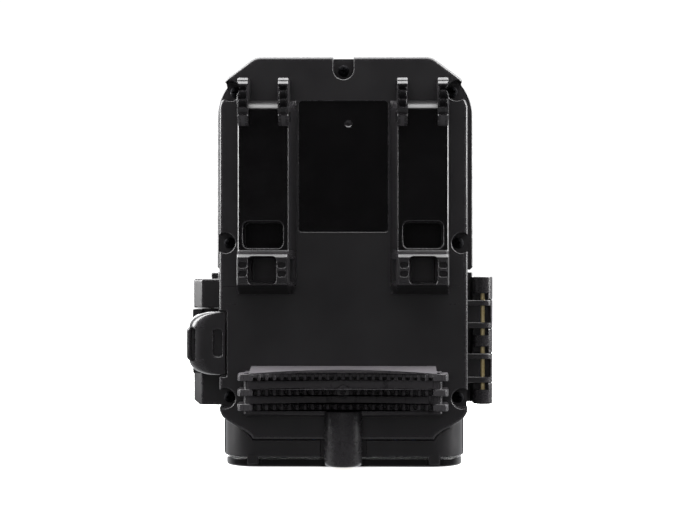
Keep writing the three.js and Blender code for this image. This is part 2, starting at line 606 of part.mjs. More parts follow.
function irWindow() {
  const pane = roundRect(GAP - IR.half, IR.half - GAP, IR.z0 + GAP, IR.z1 - GAP, 3.8);
  return prism('y', pane, FRONT_Y - 0.4, FRONT_Y + 1.8, 4);
}

// A motion sensor lens bulges between its ends.
function motionLens() {
  const half = MOTION.half - GAP;
  const outer = new THREE.Shape();
  outer.moveTo(-half, FRONT_Y + 1.6);
  outer.quadraticCurveTo(0, FRONT_Y - 8.6, half, FRONT_Y + 1.6);
  const inner = new THREE.Shape();
  inner.moveTo(1.6 - half, FRONT_Y + 3);
  inner.lineTo(1.6 - half, FRONT_Y + 1.9);
  inner.quadraticCurveTo(0, FRONT_Y - 6, half - 1.6, FRONT_Y + 1.9);
  inner.lineTo(half - 1.6, FRONT_Y + 3);
  return cut(prism('z', outer, MOTION.z0 + GAP, MOTION.z1 - GAP, 8), prism('z', inner, MOTION.z0, MOTION.z1, 8));
}

function motionSensor() {
  const profile = [[0, 0], [4.6, 0], [4.6, 0.6], [4, 0.6], [4, 3.6], [3.6, 4], [0, 4]];
  return turned(profile, [0, -21.7, 87], Y.clone().negate());
}

const DISPLAY = { x0: -35.4, x1: -3, z0: 42.4, z1: 63.2 };
const KEYS = { x: 13.5, z: 50.7, offset: 6.2 };
const KEY_PLACES = { ok: [0, 0], up: [0, 1], down: [0, -1], left: [-1, 0], right: [1, 0] };
const SWITCH = { x: 33.2, z: 46.6, travel: 7 };
const CARD = { x0: 5, x1: 29, y0: -10, y1: 22, z0: 61.6, z1: 63.7 };

function keyShape(name, grow) {
  const [dx, dz] = KEY_PLACES[name];
  const x = KEYS.x + dx * KEYS.offset;
  const z = KEYS.z + dz * KEYS.offset;
  const half = 2.4 + grow;
  return name === 'ok' ? circle(x, z, 2.9 + grow) : roundRect(x - half, x + half, z - half, z + half, 1);
}

function controlPanel() {
  const plate = prism('y', roundRect(-39, 39, 39.6, 65.7, 2.5), PANEL_Y, HOUSING_FRONT_Y - GAP, 3);
  const view = box(-34.4, -4, -10, 0, 43.4, 62.2);
  const keyHoles = Object.keys(KEY_PLACES).map((name) => prism('y', keyShape(name, GAP), -10, 0, 3));
  const half = 2.2;
  const trackTop = SWITCH.z + SWITCH.travel + half + GAP;
  const track = box(SWITCH.x - 1.3, SWITCH.x + 1.3, -10, 0, SWITCH.z - half - GAP, trackTop);
  const cardSlot = box(CARD.x0 - GAP, CARD.x1 + GAP, -10, 0, CARD.z0 - GAP, CARD.z1 + GAP);
  return cut(plate, view, keyHoles, track, cardSlot);
}

function keyCap(name) {
  const cap = prism('y', keyShape(name, 0), PANEL_Y - 1.2, -3, 3);
  return join(cap, prism('y', keyShape(name, 0.45), -3.9, -2.6, 2));
}

function modeSwitch() {
  const stem = box(SWITCH.x - 1, SWITCH.x + 1, PANEL_Y - 1.6, -2, SWITCH.z - 2.2, SWITCH.z + 2.2);
  return join(stem, box(SWITCH.x - 2.2, SWITCH.x + 2.2, -3.9, -2, SWITCH.z - 2.2, SWITCH.z + 2.2));
}

function cardSocket() {
  const shell = box(3, 30.6, -3.6, CARD.y1 + 0.9, 60.2, 65.2);
  return cut(shell, box(CARD.x0 - GAP, CARD.x1 + GAP, -10, CARD.y1 + GAP, CARD.z0 - GAP, CARD.z1 + GAP));
}

function memoryCard() {
  const body = box(CARD.x0, CARD.x1, CARD.y0, CARD.y1, CARD.z0, CARD.z1);
  const corner = [[CARD.x0 - 1, CARD.y1 + 1], [CARD.x0 - 1, CARD.y1 - 4], [CARD.x0 + 4, CARD.y1 + 1]];
  const notch = prism('z', polygon(corner), 50, 70);
  return cut(body, notch);
}

// ---- battery tray: two layers of four cells that lie front to back ----
const CELL_RADIUS = 7;
const CELL_PITCH = 14.6;
const SHELF_Z = 22.6;
const TRAY = { half: 31.1, y0: -31, y1: 23.2, in0: -29.8, in1: 22 };

function batteryTray() {
  const half = CELL_PITCH * 2 + 0.3;
  const frame = box(-TRAY.half, TRAY.half, TRAY.y0, TRAY.y1, 7.6, 37.6);
  const lower = box(-half, half, TRAY.in0, TRAY.in1, 5, SHELF_Z - 0.3);
  const upper = box(-half, half, TRAY.in0, TRAY.in1, SHELF_Z + 0.3, 40);
  const pull = prism('y', roundRect(-9, 9, 31, 45, 3), TRAY.y0 - 1, TRAY.in0 + 0.1, 3);
  const ends = [TRAY.in0, TRAY.in1 - 1.2].map((y) => box(-half, half, y, y + 1.2, 5, 40));
  const chinClearance = box(-40, 40, TRAY.in1, 30, 0, PLATE_BOTTOM);
  return cut(frame, lower, upper, ends, pull, chinClearance);
}

function batteryCell(column, row) {
  const x = (column - 1.5) * CELL_PITCH;
  const z = SHELF_Z + (row - 0.5) * 15.2;
  const length = 50;
  const way = (column + row) % 2 ? 1 : -1;
  const start = way > 0 ? TRAY.in0 + 0.9 : TRAY.in1 - 0.9;
  const profile = [
    [0, 0], [6.6, 0], [CELL_RADIUS, 0.5], [CELL_RADIUS, length - 1.9], [6.4, length - 1.4], [2.7, length - 1.4],
    [2.7, length], [0, length],
  ];
  return turned(profile, [x, start, z], Y.clone().multiplyScalar(way), 10);
}

function contactPlate(y) {
  return cut(box(-27, 27, y, y + 0.3, 10.2, 35.5), box(-9.6, 9.6, y - 1, y + 1, 30, 40));
}

// ---- assembly ----
add('rear_cover', rearCover(), SHELL);
add('tripod_insert', tripodInsert(), BRASS);
SCREWS.forEach((screw, i) => add(`rear_screw_${i + 1}`, rearScrew(screw), DARK_STEEL));
add('rear_cover_gasket', coverGasket(), SOFT);
add('main_housing', mainHousing(), SHELL);
add('bottom_cover', bottomCover(), SHELL);
add('upper_front_housing', upperFrontHousing(), SHELL);
add('front_door', frontDoor(), SHELL);
add('door_gasket', doorGasket(), SOFT);
add('hinge_pin', rod('z', HINGE.x, HINGE.y, HINGE.pin, 22.6, 66.2, 5), BRASS);
add('latch_lever', latchLever(), SHELL);
add('latch_pin', rod('z', LATCH.x, LATCH.y, LATCH.pin, 22.4, 64.6, 5), BRASS);

add('ir_window', irWindow(), DARK_GLASS);
add('led_board', ledBoard(), BOARD);
add('lens_barrel', lensBarrel(), SOFT);
add('lens_glass', lensGlass(), CLEAR);
add('lens_ring', lensRing(), SHELL);
add('image_sensor_board', box(-12, 12, -15.4, -13.8, 97, 119), BOARD);
add('motion_lens', motionLens(), MILKY);
add('motion_sensor', motionSensor(), STEEL);
add('motion_sensor_board', box(-11, 11, -21.4, -19.8, 79, 95), BOARD);
add('main_board', box(-34, 34, 6, 7.6, 76, 137), BOARD);

add('control_panel', controlPanel(), SHELL);
add('display_module', box(DISPLAY.x0, DISPLAY.x1, -3.9, -0.6, DISPLAY.z0, DISPLAY.z1), SOFT);
add('display_window', box(-34, -4.4, -5.8, -4.3, 43.8, 61.8), DARK_GLASS);
add('control_board', box(-36, 36, 2, 3.6, 41.6, 59.8), BOARD);
Object.keys(KEY_PLACES).forEach((name) => add(`key_${name}`, keyCap(name), KEY));
add('mode_switch', modeSwitch(), KEY);
add('card_socket', cardSocket(), STEEL);
add('memory_card', memoryCard(), SOFT);

add('battery_tray', batteryTray(), SOFT);
for (let row = 0; row < 2; row += 1) {
  for (let column = 0; column < 4; column += 1) {
    add(`battery_${row * 4 + column + 1}`, batteryCell(column, row), CELL);
  }
}
add('battery_contacts_front', contactPlate(TRAY.in0 + 0.3), STEEL);
add('battery_contacts_rear', contactPlate(TRAY.in1 - 0.6), STEEL);

export default camera;
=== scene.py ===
"""Looks for a trail camera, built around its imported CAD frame.

The scene is in metres, +Z up, with the lens towards -Y and the tree side towards +Y. Shapes below are
drawn in millimetres in that same frame, and become metres when they turn into pieces.
"""

import json
import math

import bmesh
import bpy
from mathutils import Matrix, Vector


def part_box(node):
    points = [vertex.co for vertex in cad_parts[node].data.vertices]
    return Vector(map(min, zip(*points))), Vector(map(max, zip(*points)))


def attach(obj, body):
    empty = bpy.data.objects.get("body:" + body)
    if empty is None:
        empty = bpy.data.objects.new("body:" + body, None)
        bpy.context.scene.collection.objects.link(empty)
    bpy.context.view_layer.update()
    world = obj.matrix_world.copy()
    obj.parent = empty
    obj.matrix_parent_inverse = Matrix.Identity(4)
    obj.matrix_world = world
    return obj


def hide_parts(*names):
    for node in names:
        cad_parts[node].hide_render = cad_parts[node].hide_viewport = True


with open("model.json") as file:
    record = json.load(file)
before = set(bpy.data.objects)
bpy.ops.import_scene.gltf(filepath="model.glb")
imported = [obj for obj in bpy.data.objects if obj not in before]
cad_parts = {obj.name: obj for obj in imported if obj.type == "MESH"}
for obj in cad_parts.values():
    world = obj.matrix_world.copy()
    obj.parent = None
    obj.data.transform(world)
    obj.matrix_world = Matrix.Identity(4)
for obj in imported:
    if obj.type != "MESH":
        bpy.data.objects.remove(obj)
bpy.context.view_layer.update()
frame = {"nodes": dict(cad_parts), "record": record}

MM = 0.001
NODES = frame["nodes"]
BODY_OF = {
    node: body for body, nodes in frame["record"]["behaviour"]["bodies"].items() for node in nodes
}
SLOT_OF = {name: node.data.materials[0].name for name, node in NODES.items()}


def span(node, axis):
    """A CAD node's lowest and highest place along one axis, in millimetres."""
    low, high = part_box(node)
    index = "xyz".index(axis)
    return low[index] / MM, high[index] / MM


# ---- outlines: lists of (a, b) points in millimetres ----
def arc(a, b, radius, start, end, steps=12):
    """Points on a circle about (a, b), from one angle to another in degrees."""
    angles = [math.radians(start + (end - start) * i / steps) for i in range(steps + 1)]
    return [(a + radius * math.cos(t), b + radius * math.sin(t)) for t in angles]


def disc(a, b, radius, steps=48):
    return arc(a, b, radius, 0, 360, steps)[:-1]


def rect(a0, a1, b0, b1, radius=0.0, steps=8):
    a0, a1 = sorted((a0, a1))
    if not radius:
        return [(a1, b1), (a0, b1), (a0, b0), (a1, b0)]
    r = radius
    corners = [(a1 - r, b1 - r, 0), (a0 + r, b1 - r, 90), (a0 + r, b0 + r, 180), (a1 - r, b0 + r, 270)]
    return [p for a, b, turn in corners for p in arc(a, b, r, turn, turn + 90, steps)]


def fillet(points, radii, steps=6):
    """Rounds the corners of a polygon; radii is one radius, or one for each corner."""
    count = len(points)
    radii = [radii] * count if isinstance(radii, (int, float)) else radii
    made = []
    for i, radius in enumerate(radii):
        corner = Vector(points[i])
        back = Vector(points[i - 1]) - corner
        ahead = Vector(points[(i + 1) % count]) - corner
        opening = back.angle(ahead)
        if not radius or opening > math.radians(179):
            made.append(tuple(corner))
            continue
        reach = min(radius / math.tan(opening / 2), back.length * 0.49, ahead.length * 0.49)
        start, end = corner + back.normalized() * reach, corner + ahead.normalized() * reach
        for k in range(steps + 1):
            t = k / steps
            made.append(tuple(start * (1 - t) ** 2 + corner * 2 * t * (1 - t) + end * t * t))
    return made


def mirrored(points):
    """A right-hand half outline, listed from top to bottom, with its mirror image."""
    return points + [(-a, b) for a, b in reversed(points)]


def flipped(points, side):
    return [(side * a, b) for a, b in points]


def inset(points, distance):
    """The outline moved inward by a distance, each corner along its bisector."""
    area = sum(p[0] * q[1] - q[0] * p[1] for p, q in zip(points, points[1:] + points[:1]))
    turn = 1 if area > 0 else -1
    made = []
    for i, here in enumerate(points):
        here = Vector(here)
        back = (here - Vector(points[i - 1])).normalized()
        ahead = (Vector(points[(i + 1) % len(points)]) - here).normalized()
        normal = Vector((-back.y - ahead.y, back.x + ahead.x)) * turn
        scale = distance / max(0.3, normal.normalized().dot(Vector((-ahead.y, ahead.x)) * turn))
        made.append(tuple(here + normal.normalized() * scale))
    return made


# ---- solids: meshes in millimetres ----
PLACES = {
    "x": lambda a, b, t: (t, a, b),
    "y": lambda a, b, t: (a, t, b),
    "z": lambda a, b, t: (a, b, t),
}


def to_mesh(bm):
    mesh = bpy.data.meshes.new("solid")
    bmesh.ops.recalc_face_normals(bm, faces=bm.faces)
    bm.to_mesh(mesh)
    bm.free()
    return mesh


def loft(axis, rings):
    """A solid through outlines of equal length, each with its place along the axis."""
    bm = bmesh.new()
    place = PLACES[axis]
    loops = [[bm.verts.new(place(a, b, t)) for a, b in outline] for outline, t in rings]
    for low, high in zip(loops, loops[1:]):
        for i in range(len(low)):
            j = (i + 1) % len(low)
            bm.faces.new((low[i], low[j], high[j], high[i]))
    bm.faces.new(loops[0])
    bm.faces.new(loops[-1])
    return to_mesh(bm)


def prism(axis, outline, start, end, low_round=0.0, high_round=0.0, steps=4):
    """An outline drawn out along an axis, with its rim rounded at either end."""
    start, end = sorted((start, end))
    rings = []
    for k in range(steps if low_round else 0):
        t = math.radians(90 * k / steps)
        rings.append((inset(outline, low_round * (1 - math.sin(t))), start + low_round * (1 - math.cos(t))))
    rings.append((outline, start + low_round))
    if end - high_round > start + low_round + 1e-6:
        rings.append((outline, end - high_round))
    for k in range(steps - 1 if high_round else -1, -1, -1):
        t = math.radians(90 * k / steps)
        rings.append((inset(outline, high_round * (1 - math.sin(t))), end - high_round * (1 - math.cos(t))))
    return loft(axis, rings)


def box(x0, x1, y0, y1, z0, z1):
    return prism("z", rect(x0, x1, y0, y1), z0, z1)


def rod(axis, a, b, radius, start, end, low_round=0.0, high_round=0.0, steps=48):
    return prism(axis, disc(a, b, radius, steps), start, end, low_round, high_round)


def turned(profile, base, direction, segments=48):
    """A turned solid: profile points are (radius, distance along the axis), from axis to axis."""
    bm = bmesh.new()
    rings = []
    for radius, along in profile:
        if radius < 1e-6:
            rings.append([bm.verts.new((0, 0, along))])
        else:
            rings.append([bm.verts.new((a, b, along)) for a, b in disc(0, 0, radius, segments)])
    for low, high in zip(rings, rings[1:]):
        for i in range(segments):
            j = (i + 1) % segments
            corners = [low[i % len(low)], low[j % len(low)], high[j % len(high)], high[i % len(high)]]
            distinct = list(dict.fromkeys(corners))
            if len(distinct) > 2:
                bm.faces.new(distinct)
    turn = Vector((0, 0, 1)).rotation_difference(Vector(direction))
    bmesh.ops.transform(bm, matrix=Matrix.Translation(base) @ turn.to_matrix().to_4x4(), verts=bm.verts)
    return to_mesh(bm)


def combine(operation, first, others):
    """Joins, cuts or intersects solids with the manifold solver."""
    scene = bpy.context.scene.collection
    work = bpy.data.objects.new("work", first)
    scene.objects.link(work)
    tools = []
    for other in others:
        tool = bpy.data.objects.new("tool", other)
        scene.objects.link(tool)
        tools.append(tool)
        step = work.modifiers.new("step", "BOOLEAN")
        step.operation = operation
        step.solver = "MANIFOLD"
        step.object = tool
    bpy.context.view_layer.update()
    shown = work.evaluated_get(bpy.context.evaluated_depsgraph_get())
    made = bpy.data.meshes.new_from_object(shown)
    for done in [work, *tools]:
        bpy.data.objects.remove(done)
    return made


def join(*solids):
    return combine("UNION", solids[0], solids[1:])


def cut(solid, *tools):
    return combine("DIFFERENCE", solid, tools)


def common(solid, *others):
    return combine("INTERSECT", solid, others)


# ---- pieces ----
def finished(mesh, flat_angle=30, strip=0.45):
    """Cleans a solid, marks its sharp edges and its narrow rounds, and scales it to metres."""
    bm = bmesh.new()
    bm.from_mesh(mesh)
    bmesh.ops.remove_doubles(bm, verts=bm.verts, dist=0.002)
    wear = bm.faces.layers.float.new("wear")
    for face in bm.faces:
        face.smooth = True
        face[wear] = 1.0 if 2 * face.calc_area() < strip * face.calc_perimeter() else 0.0
    for edge in bm.edges:
        edge.smooth = len(edge.link_faces) == 2 and edge.calc_face_angle(0) < math.radians(flat_angle)
    bmesh.ops.scale(bm, vec=(MM, MM, MM), verts=bm.verts)
    made = bpy.data.meshes.new("piece")
    bm.to_mesh(made)
    bm.free()
    return made


def folded(mesh):
    """True where a face's triangles turn against its normal."""
    mesh.calc_loop_triangles()
    points = mesh.vertices
    for triangle in mesh.loop_triangles:
        a, b, c = (points[i].co for i in triangle.vertices)
        turn = (b - a).cross(c - a)
        if turn.length > 1e-6 and turn.dot(mesh.polygons[triangle.polygon_index].normal) < 0:
            return True
    return False


def eased(mesh, width, segments=2, least_angle=34):
    """Bevels a simple solid's outer edges, by the widest amount of three that leaves it clean."""
    for offset in (width, width * 0.6, width * 0.3):
        bm = bmesh.new()
        bm.from_mesh(mesh)
        bmesh.ops.remove_doubles(bm, verts=bm.verts, dist=0.004)
        bmesh.ops.dissolve_limit(bm, angle_limit=math.radians(0.8), verts=bm.verts, edges=bm.edges)
        chosen = [e for e in bm.edges if len(e.link_faces) == 2 and e.is_convex
                  and e.calc_face_angle(0) > math.radians(least_angle)]
        bmesh.ops.bevel(bm, geom=chosen, offset=offset, offset_type="OFFSET", segments=segments, profile=0.5,
                        affect="EDGES", clamp_overlap=False, miter_outer="ARC", miter_inner="SHARP")
        made = bpy.data.meshes.new("eased")
        bm.to_mesh(made)
        bm.free()
        if not folded(made):
            return finished(made)
    return finished(mesh)


def piece(name, mesh, slot, body="housing", replaces=(), look=None):
    """A finished piece on a body, in its slot's material."""
    obj = bpy.data.objects.new(name, mesh)
    bpy.context.scene.collection.objects.link(obj)
    mesh.materials.clear()
    mesh.materials.append(LOOKS[look or slot])
    normals = obj.modifiers.new("flat faces stay flat", "WEIGHTED_NORMAL")
    normals.weight = 80
    normals.keep_sharp = True
    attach(obj, body)
    if replaces:
        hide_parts(*replaces)
    return obj


def refined(node, width=0.3, **options):
    """A CAD node's own shape with its edges eased, standing for that node."""
    mesh = NODES[node].data.copy()
    mesh.transform(Matrix.Scale(1 / MM, 4))
    return piece(node + "_shape", eased(mesh, width, **options), SLOT_OF[node], BODY_OF[node], [node])


# ---- materials ----
class Look:
    """A Principled material and short calls for its nodes."""

    def __init__(self, name, **values):
        self.material = bpy.data.materials.new(name)
        self.material.use_nodes = True
        self.tree = self.material.node_tree
        self.shader = self.tree.nodes["Principled BSDF"]
        for socket, value in values.items():
            self.shader.inputs[socket.replace("_", " ")].default_value = value
        self.place = self.node("ShaderNodeTexCoord").outputs["Object"]

    def node(self, kind, **settings):
        made = self.tree.nodes.new(kind)
        for name, value in settings.items():
            setattr(made, name, value)
        return made

    def link(self, source, target):
        self.tree.links.new(source, target)

    def noise(self, size_mm, detail=3.0, roughness=0.5):
        made = self.node("ShaderNodeTexNoise")
        made.inputs["Scale"].default_value = 1 / (size_mm * MM)
        made.inputs["Detail"].default_value = detail
        made.inputs["Roughness"].default_value = roughness
        self.link(self.place, made.inputs["Vector"])
        return made.outputs["Fac"]

    def ramp(self, value, *stops):
        """A colour ramp: stops are (position, colour), and a colour may be a single grey."""
        made = self.node("ShaderNodeValToRGB")
        ramp = made.color_ramp
        while len(ramp.elements) < len(stops):
            ramp.elements.new(0.5)
        for element, (position, colour) in zip(ramp.elements, stops):
            element.position = position
            element.color = (*colour, 1) if isinstance(colour, tuple) else (colour, colour, colour, 1)
        self.link(value, made.inputs["Fac"])
        return made.outputs["Color"]

    def span(self, value, low, high, source=(0.3, 0.7)):
        made = self.node("ShaderNodeMapRange")
        made.inputs["From Min"].default_value, made.inputs["From Max"].default_value = source
        made.inputs["To Min"].default_value, made.inputs["To Max"].default_value = low, high
        self.link(value, made.inputs["Value"])
        return made.outputs["Result"]

    def mix(self, factor, first, second, blend="MIX"):
        made = self.node("ShaderNodeMix", data_type="RGBA", blend_type=blend)
        for socket, value in (("Factor", factor), ("A", first), ("B", second)):
            target = next(s for s in made.inputs if s.name == socket and s.enabled)
            if isinstance(value, bpy.types.NodeSocket):
                self.link(value, target)
            else:
                target.default_value = value if isinstance(value, float) else (*value, 1)
        return next(s for s in made.outputs if s.enabled)

    def attribute(self, name):
        return self.node("ShaderNodeAttribute", attribute_name=name).outputs["Fac"]

    def bump(self, *layers):
        """Layers are (height, strength, depth in millimetres), stacked on one another."""
        normal = None
        for height, strength, depth in layers:
            made = self.node("ShaderNodeBump")
            made.inputs["Strength"].default_value = strength
            made.inputs["Distance"].default_value = depth * MM
            self.link(height, made.inputs["Height"])
            if normal:
                self.link(normal, made.inputs["Normal"])
            normal = made.outputs["Normal"]
        self.link(normal, self.shader.inputs["Normal"])

    def colour(self, source):
        self.link(source, self.shader.inputs["Base Color"])

    def gloss(self, source):
        self.link(source, self.shader.inputs["Roughness"])


def moulded(name, dark, light, rough, grain_mm=0.16, grain_depth=0.02, edge_gain=1.6):
    """Moulded plastic: spark-eroded grain, faint flow marks, edges polished by handling, painted shade and painted
    light.
    """
    look = Look(name, Specular_IOR_Level=0.5)
    flow = look.noise(23, 4)
    grain = look.noise(grain_mm, 2, 0.6)
    base = look.ramp(flow, (0.3, dark), (0.7, light))
    worn = tuple(min(1.0, c * edge_gain) for c in light)
    wear = look.attribute("wear")
    scuff = look.span(look.noise(1.3, 4, 0.7), 0.2, 1.0, (0.35, 0.6))
    edge = look.node("ShaderNodeMath", operation="MULTIPLY")
    look.link(wear, edge.inputs[0])
    look.link(scuff, edge.inputs[1])
    # Smooth flats darken to 0.3 of the dark tone: painted shade on the recess floors and the bottom cover; rail faces
    # darken too.
    polished_and_shaded = look.mix(look.attribute("polished_and_shaded"), base, tuple(c * 0.3 for c in dark))
    coarse = look.mix(look.attribute("coarse"), polished_and_shaded, tuple(c * 2.4 for c in light))
    # Marked faces turn lighter grey: painted light on the pad's up-facing top and the fingers' down-facing ramps.
    painted_light = look.mix(look.attribute("painted_light"), coarse, (0.085, 0.08, 0.086))
    look.colour(look.mix(edge.outputs[0], painted_light, worn))
    patch = look.span(look.noise(6, 5, 0.6), rough - 0.05, rough + 0.06)
    smoother = look.node("ShaderNodeMath", operation="MULTIPLY_ADD")
    look.link(look.attribute("polished_and_shaded"), smoother.inputs[0])
    smoother.inputs[1].default_value = -0.14
    look.link(patch, smoother.inputs[2])
    patch = smoother.outputs[0]
    handled = look.node("ShaderNodeMath", operation="MULTIPLY_ADD")
    look.link(edge.outputs[0], handled.inputs[0])
    handled.inputs[1].default_value = -0.1
    look.link(patch, handled.inputs[2])
    look.gloss(handled.outputs[0])
    look.bump((grain, 0.16, grain_depth), (look.noise(5, 2), 0.05, 0.04))
    return look.material


def metal(name, dark, light, rough, brush_axis="z", brush_mm=0.05, metallic=1.0):
    """Turned or drawn metal: fine lines round the axis, with tarnish in patches."""
    look = Look(name, Metallic=metallic)
    stretch = look.node("ShaderNodeMapping")
    stretch.inputs["Scale"].default_value = {"x": (1, 0.05, 0.05), "y": (0.05, 1, 0.05),
                                             "z": (0.05, 0.05, 1)}[brush_axis]
    look.link(look.place, stretch.inputs["Vector"])
    lines = look.node("ShaderNodeTexNoise")
    lines.inputs["Scale"].default_value = 1 / (brush_mm * MM)
    lines.inputs["Detail"].default_value = 2
    look.link(stretch.outputs["Vector"], lines.inputs["Vector"])
    tarnish = look.noise(2.2, 5, 0.65)
    look.colour(look.ramp(tarnish, (0.35, dark), (0.65, light)))
    look.gloss(look.span(lines.outputs["Fac"], rough - 0.08, rough + 0.12))
    look.bump((lines.outputs["Fac"], 0.25, 0.01), (tarnish, 0.1, 0.01))
    return look.material


def rubber(name):
    look = Look(name, Specular_IOR_Level=0.3)
    look.colour(look.ramp(look.noise(4, 4), (0.3, 0.006), (0.7, 0.014)))
    look.gloss(look.span(look.noise(1.1, 3), 0.68, 0.86))
    look.bump((look.noise(0.12, 2), 0.4, 0.02), (look.noise(2, 3), 0.2, 0.05))
    return look.material


def tinted_glass(name):
    look = Look(name, Specular_IOR_Level=0.5, Coat_Weight=0.6, Coat_Roughness=0.03)
    look.colour(look.ramp(look.noise(9, 3), (0.3, (0.006, 0.003, 0.004)), (0.7, (0.013, 0.006, 0.008))))
    smear = look.noise(5, 6, 0.7)
    look.gloss(look.span(smear, 0.04, 0.16, (0.4, 0.75)))
    look.bump((look.noise(14, 2), 0.05, 0.03))
    return look.material


def coated_lens(name):
    """Lens glass with a purple and green coating that shows towards the rim."""
    look = Look(name, Specular_IOR_Level=0.9, Coat_Weight=1.0, Coat_Roughness=0.01)
    facing = look.node("ShaderNodeLayerWeight")
    facing.inputs["Blend"].default_value = 0.35
    tint = look.ramp(facing.outputs["Facing"], (0.05, (0.012, 0.01, 0.03)), (0.4, (0.05, 0.015, 0.09)),
                     (0.75, (0.01, 0.06, 0.045)))
    look.colour(look.mix(look.span(look.noise(1.5, 3), 0.0, 0.4), tint, (0.008, 0.009, 0.014)))
    look.gloss(look.span(look.noise(2.5, 4), 0.02, 0.07))
    return look.material


def circuit_board(name):
    """Solder mask over copper: the traces show as a lighter green grid of lines and pads."""
    look = Look(name, Coat_Weight=0.35, Coat_Roughness=0.25)
    lines = look.node("ShaderNodeTexBrick", offset=0.37, squash=0.6, squash_frequency=3)
    turn = look.node("ShaderNodeMapping")
    turn.inputs["Rotation"].default_value = (math.radians(90), 0, 0)
    look.link(look.place, turn.inputs["Vector"])
    look.link(turn.outputs["Vector"], lines.inputs["Vector"])
    lines.inputs["Scale"].default_value = 1 / (9 * MM)
    lines.inputs["Mortar Size"].default_value = 0.03
    lines.inputs["Mortar Smooth"].default_value = 0.1
    lines.inputs["Color1"].default_value = (0.006, 0.05, 0.02, 1)
    lines.inputs["Color2"].default_value = (0.008, 0.065, 0.026, 1)
    lines.inputs["Mortar"].default_value = (0.03, 0.16, 0.06, 1)
    grime = look.noise(7, 4)
    look.colour(look.mix(look.span(grime, 0.0, 0.35), lines.outputs["Color"], (0.004, 0.03, 0.014)))
    look.gloss(look.span(look.noise(0.9, 3), 0.3, 0.5))
    look.bump((lines.outputs["Fac"], 0.3, 0.03), (look.noise(0.3, 2), 0.15, 0.01))
    return look.material


def milky_lens(name):
    look = Look(name, Subsurface_Weight=0.3, Subsurface_Scale=0.001, Coat_Weight=0.2)
    look.shader.inputs["Subsurface Radius"].default_value = (1, 1, 1)
    look.colour(look.ramp(look.noise(5, 4), (0.3, (0.58, 0.58, 0.53)), (0.7, (0.7, 0.7, 0.66))))
    look.gloss(look.span(look.noise(1.4, 3), 0.25, 0.42))
    look.bump((look.noise(0.8, 2), 0.15, 0.02))
    return look.material


def wrapped(name):
    """Printed shrink wrap on a cell: a plain colour with fine creases, and bare steel where faces are marked bare."""
    look = Look(name, Coat_Weight=0.4, Coat_Roughness=0.15)
    creases = look.noise(1.2, 6, 0.75)
    look.gloss(look.span(creases, 0.22, 0.42))
    look.bump((creases, 0.2, 0.05))
    bare = look.attribute("bare")
    wrap = look.ramp(look.noise(6, 5), (0.3, (0.03, 0.10, 0.27)), (0.7, (0.045, 0.15, 0.38)))
    steel = look.ramp(look.noise(2, 4), (0.3, 0.45), (0.7, 0.6))
    look.colour(look.mix(bare, wrap, steel))
    look.link(bare, look.shader.inputs["Metallic"])
    return look.material


LOOKS = {
    "shell": moulded("moulded_shell", (0.0082, 0.0076, 0.0084), (0.0108, 0.0101, 0.011), 0.33),
    "soft_black": rubber("seal_rubber"),
    "inner_plastic": moulded("inner_plastic", (0.013, 0.013, 0.014), (0.02, 0.02, 0.021), 0.55, 0.25),
    "brass": metal("turned_brass", (0.6, 0.47, 0.22), (0.82, 0.7, 0.42), 0.42, metallic=0.65),
    "dark_steel": metal("blackened_steel", (0.008, 0.008, 0.009), (0.02, 0.02, 0.022), 0.6, "y"),
    "dark_glass": tinted_glass("tinted_window"),
    "lens_glass": coated_lens("coated_lens"),
    "circuit_board": circuit_board("solder_mask"),
    "motion_lens": milky_lens("milky_lens"),
    "steel": metal("bright_steel", (0.4, 0.4, 0.41), (0.62, 0.62, 0.64), 0.28, "x"),
    "key_grey": moulded("key_grey", (0.1, 0.108, 0.115), (0.13, 0.138, 0.146), 0.55, 0.2),
    "cell_wrap": wrapped("cell_wrap"),
}

for node_name, node in NODES.items():
    node.data.materials[0] = LOOKS[SLOT_OF[node_name]]


# ---- rear cover ----
PLATE_Y = 26.0
PLATE_TOP = 146.7
RIM_Y, HIGH_Y = span("rear_cover", "y")
WALL = 2.3
RAIL = {"inner": 19.2, "outer": 37.2, "root": 16.8, "middle": 28.3, "face": 33.0, "crest": HIGH_Y}
SEAT_Y = 19.0
BOSS = {"y": 28.8, "r": 6.7, "z0": span("rear_cover", "z")[0], "z1": 20.6}
LEVER_LOW, LEVER_HIGH = span("latch_lever", "z")
BORE_RADIUS = 3.7
SCREWS = [(side * x, z, side * bore) for z, x, bore in ((134.6, 39, 40.4), (80.2, 41.2, 42.3), (24.6, 41.2, 42.3))
          for side in (-1, 1)] + [(0.0, 142.3, 0.0)]


def plate_outline(grow=0.0):
    corners = mirrored([
        (31.5, PLATE_TOP), (42.6, 138.4), (41.7, 134.6), (41.5, 132.6), (43.7, 131.1), (44.4, 129), (44.4, 20),
        (43.5, 18.1), (41.8, 16.6), (38.7, 14.6), (35.4, 12.9), (33.2, 11.2), (32.4, 9.8),
    ])
    radii = [6, 2, 3, 1, 0.5, 1.5, 1.5, 1.5, 2, 4, 3, 1.5, 0.3]
    return fillet(inset(corners, -grow), radii + radii[::-1])


def well(outline, floor, surface, floor_round=0.3, lip=0.3, taper=0.0):
    """A cutter for a pocket with a round floor edge and a round lip."""
    rings = []
    for k in range(4):
        t = math.radians(90 * k / 4)
        drop = taper + floor_round * (1 - math.sin(t))
        rings.append((inset(outline, drop), floor + floor_round * (1 - math.cos(t))))
    rings.append((inset(outline, taper) if taper else outline, floor + floor_round))
    for k in range(6):
        t = math.radians(90 * k / 5)
        rings.append((inset(outline, -lip * (1 - math.cos(t))), surface - lip + lip * math.sin(t)))
    rings.append((inset(outline, -lip), surface + 20))
    return loft("y", rings)


